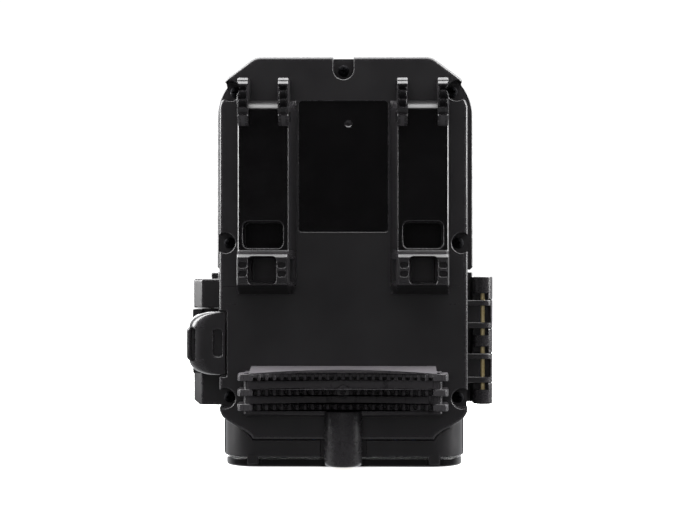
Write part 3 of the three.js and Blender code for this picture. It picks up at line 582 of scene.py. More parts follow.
def rail_side():
    """Side view of a rail: curved top end, face, foot and the return to the plate."""
    face, crest = RAIL["face"], RAIL["crest"]
    view = [(PLATE_Y - 1, 131.2)]
    for k in range(11):
        t = k / 10
        view.append((PLATE_Y * (1 - t) ** 2 + 31.8 * 2 * t * (1 - t) + face * t * t,
                     131 * (1 - t) ** 2 + 130.2 * 2 * t * (1 - t) + 127.3 * t * t))
    foot = fillet([(face, 100), (face, 77.3), (crest - 1, 76.1), (crest, 75), (crest, 65.5), (crest - 1.6, 64.8),
                   (PLATE_Y, 61.8)], [0, 0.5, 0.8, 0.6, 0.8, 1, 0])
    return view + foot[1:] + [(PLATE_Y - 1, 61.8)]


def rail(side):
    inner, outer = RAIL["inner"], RAIL["outer"]
    rings = []
    for x, height in ((RAIL["root"], 0.02), (inner - 1.2, 0.47), (inner - 0.25, 0.86), (inner, 0.93),
                      (inner + 0.3, 0.975), (inner + 0.9, 1), (outer - 0.9, 1), (outer - 0.3, 0.975),
                      (outer, 0.93), (outer + 0.2, 0.8), (outer + 0.5, 0.02)):
        ring = [(PLATE_Y + (y - PLATE_Y) * height if y > PLATE_Y else y, z) for y, z in rail_side()]
        rings.append((ring, side * x))
    return [loft("x", rings), finger(side, inner - 0.15, 22.85), finger(side, 33.3, outer - 0.1)]


LEDGES = (133.5, 130.5, 127.6)


def finger(side, start, end):
    """A strap finger: a round-nosed cap, saw teeth that curl up into thin side walls, and a ramp."""
    crest, face = RAIL["crest"], RAIL["face"]
    cap = fillet([(PLATE_Y - 1, 138.6), (crest - 2.3, 138.2), (crest - 1.25, 137.2), (crest - 1.35, 136.95),
                  (crest - 0.2, 135.9), (crest, 135.2)], [0, 0.8, 0.25, 0.1, 0.3, 0.2])
    ramp = [(crest - 1.6, 125.6), (crest - 1.5, 125.2), (crest - 1, 124.8), (face + 2.2, 123.1), (face + 0.8, 121.9),
            (face - 0.5, 121.1), (PLATE_Y - 1, 121.1)]
    teeth = [(crest + dy, ledge + dz) for ledge in LEDGES
             for dy, dz in ((-2.4, 0.5), (-2.3, 0.02), (-0.35, -0.02), (-0.1, -0.12), (0, -0.4))]

    def ring(depth, drop):
        curl = 0.7 * (1 - depth) ** 2 if depth else 0.0
        sunk = [(crest + (y - crest) * depth, z + curl) for y, z in teeth]
        outline = cap + sunk + ramp
        return inset(outline, drop) if drop else outline

    edge = [(0, 0, 0.4), (0.12, 0, 0.13), (0.4, 0, 0), (0.5, 0, 0), (0.62, 0.45, 0), (0.85, 0.85, 0), (1.2, 1, 0)]
    rings = [(ring(depth, drop), side * (start + x)) for x, depth, drop in edge]
    rings += [(ring(depth, drop), side * (end - x)) for x, depth, drop in reversed(edge)]
    return loft("x", rings)


def rail_cuts(side):
    middle, face, crest = RAIL["middle"], RAIL["face"], RAIL["crest"]
    tools = [
        well(flipped(rect(middle - 7.1, middle + 7.1, 78.2, 87.7, 2), side), PLATE_Y - 0.8, face, 0.4, 0.4),
        well(flipped(rect(middle - 5, middle + 5, 65.5, 75.5, 1.5), side), PLATE_Y, crest, 0.3, 0.35, 0.8),
        box(side * 10, side * 45, 29.2, 34.6, 66.6, 74.4),
        box(side * 10, side * (RAIL["inner"] + 0.2), 30.9, 32.8, 122.9, 126.5),
    ]
    for z in (72.3, 69.2):
        for a, b in ((RAIL["inner"] + 0.8, 22.9), (33.7, RAIL["outer"] - 0.5)):
            tools.append(well(flipped(rect(a, b, z - 1, z + 1, 0.8), side), crest - 1.7, crest, 0.2, 0.3))
    return tools


PAD = {"half": 37.2, "bottom": 18.2, "top": 36.2, "middle": 32.0, "end": HIGH_Y - 0.02, "toothed": 33.0,
       "pitch": 2.68, "gaps": 24, "gap": 0.75}
PAD_ROWS = (32.8, 27.5, 22.3)
ROW_HALF = 1.2


def pad_front(x):
    return PAD["middle"] + (PAD["end"] - PAD["middle"]) * (x / PAD["toothed"]) ** 2


def pad_plan(back, half, slots=0.0):
    """Plan of the pad, hollow in front to fit a round trunk; slots of a given depth leave teeth between them."""
    shoulder = PAD["toothed"] + 0.2
    tip = PAD["end"] - back
    right = [(half, PLATE_Y - 1), (half, tip - 4.6), (half - 0.2, tip - 1.6), (half - 1.2, tip - 0.25),
             (half - 2.4, tip), (shoulder, tip)]
    radii = [0, 1, 1.2, 0.8, 0.6, 0.2]
    front = []
    if slots:
        for i in range(PAD["gaps"] - 1, PAD["gaps"] // 2 - 1, -1):
            x = (i - (PAD["gaps"] - 1) / 2) * PAD["pitch"]
            wide = PAD["gap"]
            front += [(x + wide, pad_front(x + wide)), (x + wide - 0.05, pad_front(x) - slots),
                      (x - wide + 0.05, pad_front(x) - slots), (x - wide, pad_front(x - wide))]
    else:
        front = [(x, pad_front(x) - back) for x in [32 - 2 * i for i in range(16)]]
        front = [p for p in front if p[0] < half - 2.5]
    points = right + front
    radii += [0.32 if not slots or k % 4 in (0, 3) else 0.2 for k in range(len(front))]
    return fillet(points + [(-a, b) for a, b in reversed(points)], radii + radii[::-1], 3)


def tree_pad():
    envelope = prism("x", [
        (PLATE_Y - 1, PAD["top"]), (PLATE_Y, PAD["top"]), (40, 33.8), (40, 20.9), (PLATE_Y, PAD["bottom"]),
        (PLATE_Y - 1, PAD["bottom"]),
    ], -45, 45)

    def within(half):
        return common(envelope.copy(), box(-half, half, PLATE_Y - 1, 50, 0, 50))

    web = common(prism("z", pad_plan(2, 35.4), PAD["bottom"], 34.4), within(34.9))
    crown = common(prism("z", pad_plan(0.35, 35.4), PAD_ROWS[0], PAD["top"]), within(33))
    rows = [prism("z", pad_plan(0, PAD["half"], 2.6), z - ROW_HALF, z + ROW_HALF, 0.24, 0.24, 3) for z in PAD_ROWS]
    gate = rod("y", 0, PAD_ROWS[1], 2.4, PLATE_Y, PAD["middle"] + 0.2, 0, 0.3)
    sprue = turned([(0, -1), (0.9, -1), (0.9, 0.6), (1.5, 2.5), (0, 2.5)],
                   (0, PAD["middle"] - 0.9, PAD_ROWS[1]), (0, 1, 0), 32)
    sinks = []
    for z in PAD_ROWS:
        for i in range(PAD["gaps"]):
            x = (i - (PAD["gaps"] - 1) / 2) * PAD["pitch"]
            if abs(x) < 2 and z == PAD_ROWS[1]:
                continue
            half = PAD["gap"] - 0.06
            mouth = rect(x - half, x + half, z - 1.15, z + 1.15, 0.3)
            sinks.append(prism("y", mouth, pad_front(x) - 5.4, pad_front(x) - 1.4))
    return cut(join(web, crown, *rows, gate), sprue, *sinks)


def tripod_boss():
    r, height = BOSS["r"], BOSS["z1"] - BOSS["z0"]
    foot = [(r - 1.4 + 1.4 * math.sin(t), 1.4 - 1.4 * math.cos(t)) for t in
            (math.radians(90 * k / 8) for k in range(9))]
    head = [(r, height - 0.5), (r - 0.15, height - 0.15), (r - 0.5, height), (0, height)]
    shaft = turned([(0, 0), *foot, *head], (0, BOSS["y"], BOSS["z0"]), (0, 0, 1), 96)
    web = box(-r, r, PLATE_Y - 1, BOSS["y"], 9.8, BOSS["z1"] - 0.3)
    return cut(join(shaft, web), box(-20, 20, 0, 24.3, -1, 9.8), box(-20, 20, 0, PLATE_Y - 1, 8.8, 30))


def rounded_plate(outline_at, start, end, low_round, high_round, steps=5):
    """Like prism, for an outline that is drawn again for each inset."""
    rings = []
    for k in range(steps if low_round else 0):
        t = math.radians(90 * k / steps)
        rings.append((outline_at(-low_round * (1 - math.sin(t))), start + low_round * (1 - math.cos(t))))
    rings += [(outline_at(0), start + low_round), (outline_at(0), end - high_round)]
    for k in range(steps - 1 if high_round else -1, -1, -1):
        t = math.radians(90 * k / steps)
        rings.append((outline_at(-high_round * (1 - math.sin(t))), end - high_round * (1 - math.cos(t))))
    return rings


def rear_cover():
    slab = loft("y", rounded_plate(plate_outline, RIM_Y, PLATE_Y, 0, 1.2, 6))
    inside = PLATE_Y - 2.4
    hollow = prism("y", plate_outline(-WALL), RIM_Y - 1, inside)
    columns = [rod("y", x, z, 5.6, RIM_Y, PLATE_Y - 1.3) for x, z, _ in SCREWS]
    latch_wall = box(39.2, 43.6, RIM_Y, PLATE_Y - 1.3, 31, 57.6)
    keep = common(prism("y", plate_outline(), RIM_Y, PLATE_Y - 1.3), join(*columns, latch_wall))
    shell = join(cut(slab, hollow, box(-31.8, 31.8, RIM_Y - 1, inside, 0, 13)), keep)
    seams = [box(side * 37.9, side * 43.1, PLATE_Y - 0.5, PLATE_Y + 0.07, z, z + 0.22)
             for side in (-1, 1) for z in (131.4, 64.6, 58.2)]
    whole = join(shell, *rail(-1), *rail(1), tree_pad(), tripod_boss(), *seams)
    gate_dimple = turned([(0, 0), (0.7, 0.1), (1.3, 0.45), (1.8, 1.2), (0, 1.2)], (-1.8, PLATE_Y - 1.1, 122.8),
                         (0, 1, 0), 32)
    latch_gap = well(rect(41.7, 60, LEVER_LOW - 0.5, LEVER_HIGH + 0.5, 0.6), RIM_Y - 2, PLATE_Y, 0.1, 0.35)
    tools = [
        *rail_cuts(-1), *rail_cuts(1), gate_dimple, latch_gap,
        well(rect(-16, 16, 84, 131, 1.2), PLATE_Y - 0.4, PLATE_Y, 0.12, 0.14),
        *[well(disc(bore, z, BORE_RADIUS), SEAT_Y, PLATE_Y, 0.3, 0.35) for _, z, bore in SCREWS],
        *[rod("y", x, z, 1.4, RIM_Y - 2, 22) for x, z, _ in SCREWS],
        well(rect(-3.7, 3.7, 142.3, 160, 0.3), SEAT_Y, PLATE_Y, 0.2, 0.35),
        rod("z", 0, BOSS["y"], span("tripod_insert", "x")[1] + 0.3, -1, span("tripod_insert", "z")[1] + 0.3),
    ]
    return cut(whole, *tools)


def surface_marks(mesh):
    """Marks the polished flats (darkened: painted shade), the pad's coarse grain and faces given painted light, for the
    shader.
    """
    polished_and_shaded, coarse, painted_light = [mesh.attributes.new(name, "FLOAT", "FACE") for name in ("polished_and_shaded", "coarse", "painted_light")]
    for face in mesh.polygons:
        x, y, z = face.center / MM
        flat = face.normal.y > 0.9
        # The darker colour on these recess floors is painted shade; the rail faces are darkened as well.
        label = flat and abs(x) < 16 and 84 < z < 131 and y < PLATE_Y - 0.1
        rail_face = flat and RAIL["root"] < abs(x) < 38 and z > 78 and y > RAIL["face"] - 0.3
        pocket_floor = flat and y < PLATE_Y - 0.1 and abs(abs(x) - RAIL["middle"]) < 7 and 78 < z < 88
        polished_and_shaded.data[face.index].value = 1.0 if label or rail_face or pocket_floor else 0.0
        on_pad = PAD["bottom"] < z < PAD["top"] + 0.1 and y > PLATE_Y + 0.2
        coarse.data[face.index].value = 1.0 if on_pad else 0.0
        # Painted light: the pad's up-facing top as if lit from above, the finger ramps as if lit by bounce from below.
        upward = face.normal.z > 0.6
        ramp = 121 < z < 124.9 and face.normal.z < -0.2 and y > RAIL["face"] - 0.6
        painted_light.data[face.index].value = 1.0 if on_pad and upward and z > 34 else 0.35 if ramp else 0.0
    return mesh


piece("rear_cover_shape", surface_marks(finished(rear_cover())), "shell", "housing", ["rear_cover"])


# ---- main housing and bottom cover ----
HOUSING_FRONT, CHIN_Y = span("main_housing", "y")
HOUSING_REAR = 16.0
BODY_BOTTOM = 3.5
CHIN_CORNER = 12.0
HINGE = {"x": -51.2, "y": 2.0, "r": 3.6, "hole": 1.1}
REAR_KNUCKLES = ((48.9, 59.3), (28.8, 39.6))
DOOR_KNUCKLES = ((59.6, 67.8), (39.9, 48.6), (21, 28.5))
TABS = (30.5, 34.5, 0.9)


def housing_outline(grow=0.0):
    corners = mirrored([
        (31.2, 145.9), (42, 137.8), (41.1, 134.4), (40.9, 132.4), (43.1, 130.6), (43.5, 128.5), (43.5, BODY_BOTTOM),
    ])
    radii = [6, 2, 3, 1, 1, 1, 1.5]
    return fillet(inset(corners, -grow), radii + radii[::-1])


def chin_plan(half, rear, grow=0.0, front=8.0, front_corner=0.0):
    half, rear = half + grow, rear + grow
    corner = CHIN_CORNER
    outline = (arc(half - corner, rear - corner, corner, 0, 90, 16)
               + arc(corner - half, rear - corner, corner, 90, 180, 16))
    if front_corner:
        front -= grow
        r = front_corner
        return outline + arc(r - half, front + r, r, 180, 270, 10) + arc(half - r, front + r, r, 270, 360, 10)
    return outline + [(-half, front), (half, front)]


def chin():
    block = prism("z", chin_plan(43.5, CHIN_Y), BODY_BOTTOM, 18, 0.5, 0)
    notch = prism("z", rect(-8.4, 8.4, CHIN_Y - 1, 30, 0.4), 0, 20)
    inner = prism("z", chin_plan(43.5, CHIN_Y, -WALL), BODY_BOTTOM + WALL, 30)
    a, b, low = TABS
    tabs = [prism("z", rect(side * a, side * b, CHIN_Y - 1.8, CHIN_Y, 0.3), low, BODY_BOTTOM + 1, 0.3)
            for side in (-1, 1)]
    return join(cut(block, prism("y", plate_outline(0.3), HOUSING_REAR, 30), notch, inner), *tabs)


def rear_knuckle(z0, z1):
    barrel = rod("z", HINGE["x"], HINGE["y"], HINGE["r"], z0, z1, 0.35, 0.35, 64)
    arm = prism("z", rect(HINGE["x"], -42.5, HINGE["y"] - HINGE["r"], HINGE["y"] + HINGE["r"], 0.3), z0, z1, 0.35, 0.35)
    x, y, r = HINGE["x"], HINGE["y"], HINGE["r"]
    slot = well(rect(x - 2.9, x + 0.9, z0 + 2.1, z1 - 2, 0.3), y - 1.9, y + r, 0.2, 0.2)
    recess = well(rect(x, -45.4, z0 + 2.1, z1 - 2, 0.3), y + 2.2, y + r, 0.2, 0.2)
    return cut(join(barrel, arm), slot, recess)


def main_housing():
    block = loft("y", rounded_plate(housing_outline, HOUSING_FRONT, HOUSING_REAR, 0.4, 0.3, 4))
    columns = join(*[rod("y", x, z, 4.4, 4, HOUSING_REAR - 0.4) for x, z, _ in SCREWS])
    hollow = cut(prism("y", housing_outline(-WALL), HOUSING_FRONT + WALL, 20), columns)
    tray_low, tray_high = span("battery_tray", "z")
    windows = [prism("y", outline, -10, 0) for outline in (
        rect(-38, 38, 74, 141, 3), rect(-37, 37, 41, 66.5, 1), rect(-31.6, 31.6, tray_low - 0.8, tray_high + 0.8, 1))]
    shell = join(cut(block, hollow, *windows), chin())
    mouth = box(-31.6, 31.6, 5, CHIN_Y - WALL, BODY_BOTTOM + WALL, 25)
    body = join(cut(shell, mouth), *[rear_knuckle(*zs) for zs in REAR_KNUCKLES])
    holes = [rod("y", x, z, 1.3, 7, 20, steps=24) for x, z, _ in SCREWS]
    latch_path = box(42.8, 50, 7, 20, LEVER_LOW - 0.5, LEVER_HIGH + 0.5)
    return cut(body, rod("z", HINGE["x"], HINGE["y"], HINGE["hole"], 10, 80), *holes, latch_path)


def bottom_cover():
    top = BODY_BOTTOM - 0.8
    half = span("bottom_cover", "x")[1]
    front, rear = span("bottom_cover", "y")
    slab = prism("z", chin_plan(half, rear, 0, front, 8), 0, top, 0.6, 0.15)
    side = fillet([(half + 0.1, 4), (half + 0.1, 2.6), (half, 0), (-half, 0), (-half - 0.1, 2.6), (-half - 0.1, 4)],
                  [0, 1, 4, 4, 1, 0])
    a, b, low = TABS
    slots = [prism("z", rect(s * (a - 1.1), s * (b + 1.1), CHIN_Y - 2.3, 30, 0.4), low - 0.3, 5) for s in (-1, 1)]
    feet = [rod("z", x, y, 3.2, -1, 0.35) for x in (-32, 32) for y in (-18, 10)]
    return cut(common(slab, prism("y", side, -40, 30)), prism("z", rect(-8.4, 8.4, CHIN_Y - 1, 30, 0.4), -1, 5),
               *slots, *feet)


piece("main_housing_shape", finished(main_housing()), "shell", "housing", ["main_housing"])
under = finished(bottom_cover())
# The whole bottom cover takes the darker colour: painted shade.
under.attributes.new("polished_and_shaded", "FLOAT", "FACE").data.foreach_set("value", [1.0] * len(under.polygons))
piece("bottom_cover_shape", under, "shell", "housing", ["bottom_cover"])


# ---- front shells ----
FRONT_Y = -34.0
FRONT_HALF = span("upper_front_housing", "x")[1]
LENS = {"x": 0.0, "z": 108.0, "r": 9.5}
IR = (30.0, 123.0, 141.5)
MOTION = (13.0, 78.5, 95.5)


def upper_outline(grow=0.0):
    half, corner = FRONT_HALF + grow, 19.4 + grow
    low, high = 70.5 - grow, 147.3 + grow
    return ([(half, low + 1)] + arc(half - corner, high - corner, corner, 0, 90, 24)
            + arc(corner - half, high - corner, corner, 90, 180, 24)
            + [(-half, low + 1), (-half + 1, low), (half - 1, low)])


def door_outline(grow=0.0):
    corners = mirrored([
        (FRONT_HALF, 69.5), (FRONT_HALF, 31), (43.6, 20), (43.2, 11), (41.8, 7.2), (38.2, 4.6), (35, 3.8),
    ])
    radii = [0.4, 6, 5, 4, 3, 3, 1]
    return fillet(inset(corners, -grow), radii + radii[::-1])


def front_shell(outline_at, rear, mouth):
    """An open-backed tray with a round front edge."""
    rings = []
    for k in range(9):
        t = math.radians(90 * k / 8)
        rings.append((outline_at(-2.6 * (1 - math.sin(t))), FRONT_Y + 3 * (1 - math.cos(t))))
    rings += [(outline_at(0), rear - 0.3), (outline_at(-0.3), rear)]
    hollow = prism("y", outline_at(-WALL - 0.4), FRONT_Y + WALL, rear - WALL)
    return cut(loft("y", rings), hollow, mouth)


def upper_front_housing():
    rear = HOUSING_FRONT - 0.3
    shell = front_shell(upper_outline, rear, prism("y", rect(-41.6, 41.6, 73.5, 143, 12), -20, 5))
    brow = prism("x", fillet([(FRONT_Y + 1, 145.6), (FRONT_Y - 1.6, 144.6), (FRONT_Y - 3, 142.6), (FRONT_Y - 3, 141.9),
                              (FRONT_Y + 1, 142.1)], [0, 1, 0.5, 0.3, 0]), -28, 28, 0.8, 0.8)
    lens_rim = rod("y", LENS["x"], LENS["z"], LENS["r"] + 3, FRONT_Y - 1.6, FRONT_Y + 1, 0.7, 0, 96)
    half, low, high = MOTION
    motion_rim = prism("y", rect(-half - 2.4, half + 2.4, low - 2.4, high + 2.4, 4), FRONT_Y - 1.2, FRONT_Y + 1, 0.6, 0)
    seams = [prism("y", rect(x - 0.5, x + 0.5, 76, 120, 0.45), FRONT_Y - 0.4, FRONT_Y + 1, 0.3, 0)
             for x in (-38, -35, 35, 38)]
    return cut(
        join(shell, brow, lens_rim, motion_rim, *seams),
        rod("y", LENS["x"], LENS["z"], LENS["r"], -50, -20, steps=96),
        prism("y", rect(-IR[0], IR[0], IR[1], IR[2], 4), -50, -20), box(-half, half, -50, -20, low, high),
    )


def door_knuckle(z0, z1, first, last):
    x, y, r = HINGE["x"], HINGE["y"], HINGE["r"]
    barrel = rod("z", x, y, r, z0 - 0.12, z1 + 0.12, 0.35, 0.35, 64)
    arm = prism("z", [(x - r, y), (x - r, -8.5), (-44.2, -17), (-43.4, -6), (-47, -6), (x + r, -1.4), (x + r, y)],
                z0, z1, 0.3, 0.3)
    windows = []
    for keep, low, high in ((first, z1 - 2.3, z1 + 1), (last, z0 - 1, z0 + 2.3)):
        if not keep:
            windows.append(box(x - 1.9, x + 5, y - 0.8, y + 6, low, high))
    body = join(barrel, arm)
    return cut(body, *windows) if windows else body


def latch_block(z0, z1, slanted):
    rear = -5.6
    plan = fillet([(43.3, -19), (54, -19), (57.3, -15), (57.3, rear - 3.4), (53.8, rear), (43.3, rear)],
                  [0, 1.2, 1.2, 1.1, 1.3, 0])
    block = prism("z", plan, z0, z1, *((1.1, 0.4) if slanted else (0.4, 1.1)), 6)
    if not slanted:
        return block
    return cut(block, prism("y", [(53.4, z0 - 1), (60, z0 - 1), (60, z0 + 3.91)], -40, 10))


def front_door():
    rear = -5.6
    shell = front_shell(door_outline, rear, prism("y", rect(-42, 42, 7.6, 66.1, 5), -20, 5))
    face = prism("y", rect(-37, 37, 14, 61, 5), -50, FRONT_Y + 0.8)
    ribs = [prism("y", rect(-31, 31, z - 1.6, z + 1.6, 1.5), FRONT_Y, FRONT_Y + 1.5, 0.5, 0) for z in (24, 37.5, 51)]
    x, y, r = HINGE["x"], HINGE["y"], HINGE["r"]
    flange = prism("z", [(x - r, y - r - 0.8), (x - r, -8.5), (-44.2, -17), (-43.4, -6), (-47, -6),
                         (x + r, y - r - 0.8)], DOOR_KNUCKLES[-1][0], DOOR_KNUCKLES[0][1], 0.3, 0.3)
    knuckles = [door_knuckle(*zs, i == 0, i == 2) for i, zs in enumerate(DOOR_KNUCKLES)]
    blocks = [latch_block(19.5, 32.3, True), latch_block(56.1, 67.2, False)]
    tab = prism("x", fillet([(-15, 67), (-8.5, 67), (-8.5, 69.4), (-15, 69.4)], [0, 0, 0.7, 0.7]), 43.5, 50.6, 0, 0.5)
    latch_x, latch_y = [sum(span("latch_pin", axis)) / 2 for axis in "xy"]
    return cut(
        join(cut(shell, face), *ribs, flange, *knuckles, *blocks, tab),
        rod("z", x, y, HINGE["hole"], 22.2, 66.6), rod("z", latch_x, latch_y, 1.1, 22, 65),
    )


piece("upper_front_shape", finished(upper_front_housing()), "shell", "housing", ["upper_front_housing"])
piece("front_door_shape", finished(front_door()), "shell", "door", ["front_door"])


# ---- latch ----
def pillow(outer, low, high, rear):
    """A block whose outer end is round in outline and eases into its rear face like a cushion."""
    rings = []
    for k in range(9):
        t = math.radians(90 * k / 8)
        ease = 1 - math.cos(t)
        side = outer - 6.3 * ease
        across, up = 8.5 - 2 * ease, 5.6
        top, foot = high - 0.5 * ease, low + 0.5 * ease
        outline = [(side - across + across * math.cos(math.radians(90 - a)),
                    top - up + up * math.sin(math.radians(90 - a)))
                   for a in range(0, 91, 6)]
        outline += [(side - across + across * math.cos(math.radians(a)), foot + up - up * math.sin(math.radians(a)))
                    for a in range(0, 91, 6)]
        outline += [(20, foot), (20, top)]
        rings.append((outline, rear - 6.4 + 6.4 * math.sin(t)))
    rings.insert(0, (rings[0][0], 6))
    return loft("y", rings)


def latch_lever():
    """A plate hinged at the door's edge, bent round the housing into a hook, with a thumb tab."""
    x, y = [sum(span("latch_pin", axis)) / 2 for axis in "xy"]
    r = 2.9
    rear = span("latch_lever", "y")[1]
    outer = 56.0
    plan = (arc(x, y, r, 180, 360, 20) + [(outer - 0.4, -5), (outer, 10), (outer, rear + 1), (42.5, rear + 1),
            (42.3, rear - 2.4), (49.4, rear - 2.6)] + arc(49.4, rear - 5.8, 3.2, 90, 0, 8)[1:]
            + [(52.9, -4.6), (x - r + 0.6, -6.6)])
    body = prism("z", plan, LEVER_LOW - 0.25, LEVER_HIGH + 0.25, 0.3, 0.3, 3)
    ears = prism("y", rect(20, 60, LEVER_LOW - 0.3, LEVER_HIGH + 0.3), -30, 7)
    body = common(body, join(ears, pillow(outer, LEVER_LOW, LEVER_HIGH, rear)))
    tab = span("latch_lever", "x")[1]
    thumb = prism("y", fillet([(53, 37), (tab - 1.4, 37.2), (tab, 38.7), (tab, 48.9), (tab - 1.4, 50.4), (53, 50.6)],
                              [0, 0.8, 0.8, 0.8, 0.8, 0]), 14.6, 19.2, 0.7, 1.3, 6)
    finger_rest = prism("y", rect(53.2, 62, 37.7, 49.9, 0.8), 18.4, 40)
    window = well(rect(43.5, 46.6, 39.5, 49.2, 0.9), rear - 1.6, rear, 0.2, 0.5)
    return cut(join(cut(body, finger_rest), thumb), window, rod("z", x, y, 1.1, 20, 70))


piece("latch_lever_shape", finished(latch_lever()), "shell", "latch", ["latch_lever"])


# ---- metal parts ----
def pin(node):
    (x0, x1), (y0, y1), (z0, z1) = [span(node, axis) for axis in "xyz"]
    r, length = (x1 - x0) / 2, z1 - z0
    profile = [(0, 0), (r - 0.3, 0), (r - 0.1, 0.08), (r, 0.3), (r, length - 0.3), (r - 0.1, length - 0.08),
               (r - 0.3, length), (0, length)]
    made = turned(profile, ((x0 + x1) / 2, (y0 + y1) / 2, z0), (0, 0, 1), 40)
    return piece(node + "_shape", finished(made), "brass", BODY_OF[node], [node])


def rear_screw(node):
    """A pan-head screw with a cross recess and a rolled thread."""
    (x0, x1), (y0, y1), (z0, z1) = [span(node, axis) for axis in "xyz"]
    head, length = (x1 - x0) / 2, y1 - y0
    x, z = (x0 + x1) / 2, (z0 + z1) / 2
    thread = [(r, 0.6 + 0.35 * i + d) for i in range(24) for r, d in ((0.82, 0), (1.0, 0.16))]
    profile = [(0, 0), (0.4, 0.1), *thread, (0.9, 9.6), (0.9, length - 1.7), (head, length - 1.7),
               (head, length - 0.8), (head - 0.2, length - 0.35), (head - 0.7, length - 0.05), (0, length)]
    body = turned(profile, (x, y0, z), (0, 1, 0), 40)
    cross = [loft("y", [(rect(x - a * 0.5, x + a * 0.5, z - b * 0.5, z + b * 0.5), y1 - 1),
                        (rect(x - a, x + a, z - b, z + b), y1 + 0.2)])
             for a, b in ((1.15, 0.24), (0.24, 1.15))]
    return piece(node + "_shape", finished(cut(body, *cross)), "dark_steel", "housing", [node])


def tripod_insert():
    """A knurled insert with a tapped bore."""
    z0, z1 = span("tripod_insert", "z")
    r, y = span("tripod_insert", "x")[1], BOSS["y"]
    knurl = [(a * (r - 0.16 * (i % 2)), y + b * (r - 0.16 * (i % 2))) for i, (a, b) in enumerate(disc(0, 0, 1, 72))]
    body = prism("z", knurl, z0, z1, 0.3, 0.3)
    thread = [(rr, -1.27 + 1.27 * i + d) for i in range(12) for rr, d in ((2.6, 0), (3.15, 0.63))]
    bore = turned([(0, -1.5), *thread, (0, thread[-1][1] + 0.1)], (0, y, z0), (0, 0, 1), 48)
    groove = cut(rod("z", 0, y, r + 1, z0 + 5.6, z0 + 6.8), rod("z", 0, y, r - 0.5, z0 + 5, z0 + 7.5))
    return cut(body, bore, groove)


for name in ("hinge_pin", "latch_pin"):
    pin(name)
for number in range(1, 8):
    rear_screw(f"rear_screw_{number}")
piece("tripod_insert_shape", finished(tripod_insert()), "brass", "housing", ["tripod_insert"])


# ---- optics ----
def facing_front(profile, node, segments=96):
    """A turned piece about the lens axis that starts at a node's rear face."""
    return turned(profile, (LENS["x"], span(node, "y")[1], LENS["z"]), (0, -1, 0), segments)


def lens_barrel():
    steps = [(6.4 - 0.28 * (i // 2), 17 - 0.7 * ((i + 1) // 2)) for i in range(9)]
    return facing_front([(0, 0), (7.2, 0), (7.4, 0.2), (7.4, 6), (8.4, 6), (8.4, 16.8), (8.2, 17), *steps,
                         (5.3, 12.6), (0, 12.6)], "lens_barrel")


def lens_glass():
    dome = [(4.9 * math.cos(t), 1.2 + 2.0 * math.sin(t)) for t in (math.radians(90 * k / 16) for k in range(16))]
    return facing_front([(0, 0), (4.9, 0), (5.3, 0.2), (5.3, 1.0), (5.1, 1.2), *dome, (0, 3.2)], "lens_glass")


def lens_ring():
    y0, y1 = span("lens_ring", "y")
    outer = rod("y", LENS["x"], LENS["z"], LENS["r"] - 0.3, y0, y1, 0.35, 0.1, 96)
    bore = loft("y", [(disc(LENS["x"], LENS["z"], r, 96), y) for r, y in (
        (8.6, y0 - 1), (8.5, y0), (7.9, y0 + 0.45), (7.85, y0 + 0.7), (7.2, y0 + 0.75), (7.0, y1 + 1))])
    return cut(outer, bore)


def ir_window():
    y0, y1 = span("ir_window", "y")
    return prism("y", rect(0.3 - IR[0], IR[0] - 0.3, IR[1] + 0.3, IR[2] - 0.3, 3.8), y0, y1, 0.35, 0.1)


def motion_lens():
    """A bulging window moulded with a grid of shallow facets."""
    (x0, x1), (y0, y1), (z0, z1) = [span("motion_lens", axis) for axis in "xyz"]

    def bulge(depth, count=40):
        return [(x0 + (x1 - x0) * i / count, y1 - (y1 - y0 - depth) * (1 - (2 * i / count - 1) ** 2))
                for i in range(count + 1)]

    outer = prism("z", bulge(0.0) + [(x1, y1 + 0.01), (x0, y1 + 0.01)], z0, z1, 0.15, 0.15, 2)
    inner = prism("z", [(x * 0.9, y + 0.9) for x, y in bulge(0.3)] + [(x1 * 0.9, y1 + 2), (x0 * 0.9, y1 + 2)],
                  z0 - 1, z1 + 1)
    band = bulge(-0.5) + list(reversed(bulge(0.14)))
    rows = [prism("z", band, z, z + 0.22) for z in (z0 + 4, z0 + 8, z0 + 12)]
    columns = []
    for i in range(1, 9):
        x = x0 + (x1 - x0) * i / 9
        depth = y1 - (y1 - y0) * (1 - (2 * i / 9 - 1) ** 2)
        columns.append(box(x - 0.11, x + 0.11, depth - 1.5, depth + 0.14, z0 + 0.5, z1 - 0.5))
    return cut(cut(outer, inner), *rows, *columns)


def led_board():
    (x0, x1), (z0, z1) = span("led_board", "x"), span("led_board", "z")
    rear = span("led_board", "y")[1]
    board = prism("y", rect(x0, x1, z0, z1, 1), rear - 1.6, rear, 0.1, 0.1, 2)
    piece("led_board_shape", finished(board), "circuit_board", "housing", ["led_board"])
    for row in range(2):
        for column in range(9):
            x, z = (column - 4) * 6.3, 128.8 + row * 7
            dome = [(1.5 * math.cos(t), 1.0 + 1.2 * math.sin(t)) for t in (math.radians(90 * k / 8) for k in range(8))]
            led = turned([(0, 0), (1.75, 0), (1.75, 0.5), (1.5, 0.5), *dome, (0, 2.2)],
                         (x, rear - 1.6, z), (0, -1, 0), 32)
            piece(f"infrared_led_{row * 9 + column + 1}", finished(led), "dark_glass")


def chips(board, side, places):
    """Packages, cans and connectors soldered to one face of a board: (name, slot, x, z, width, height, depth)."""
    face = span(board, "y")[side > 0]
    for name, slot, x, z, width, height, depth in places:
        plan = rect(x - width / 2, x + width / 2, z - height / 2, z + height / 2, 0.2)
        shape = prism("y", plan, face, face + side * depth, 0.15, 0.15, 2)
        piece(f"{board}_{name}", finished(shape), slot)


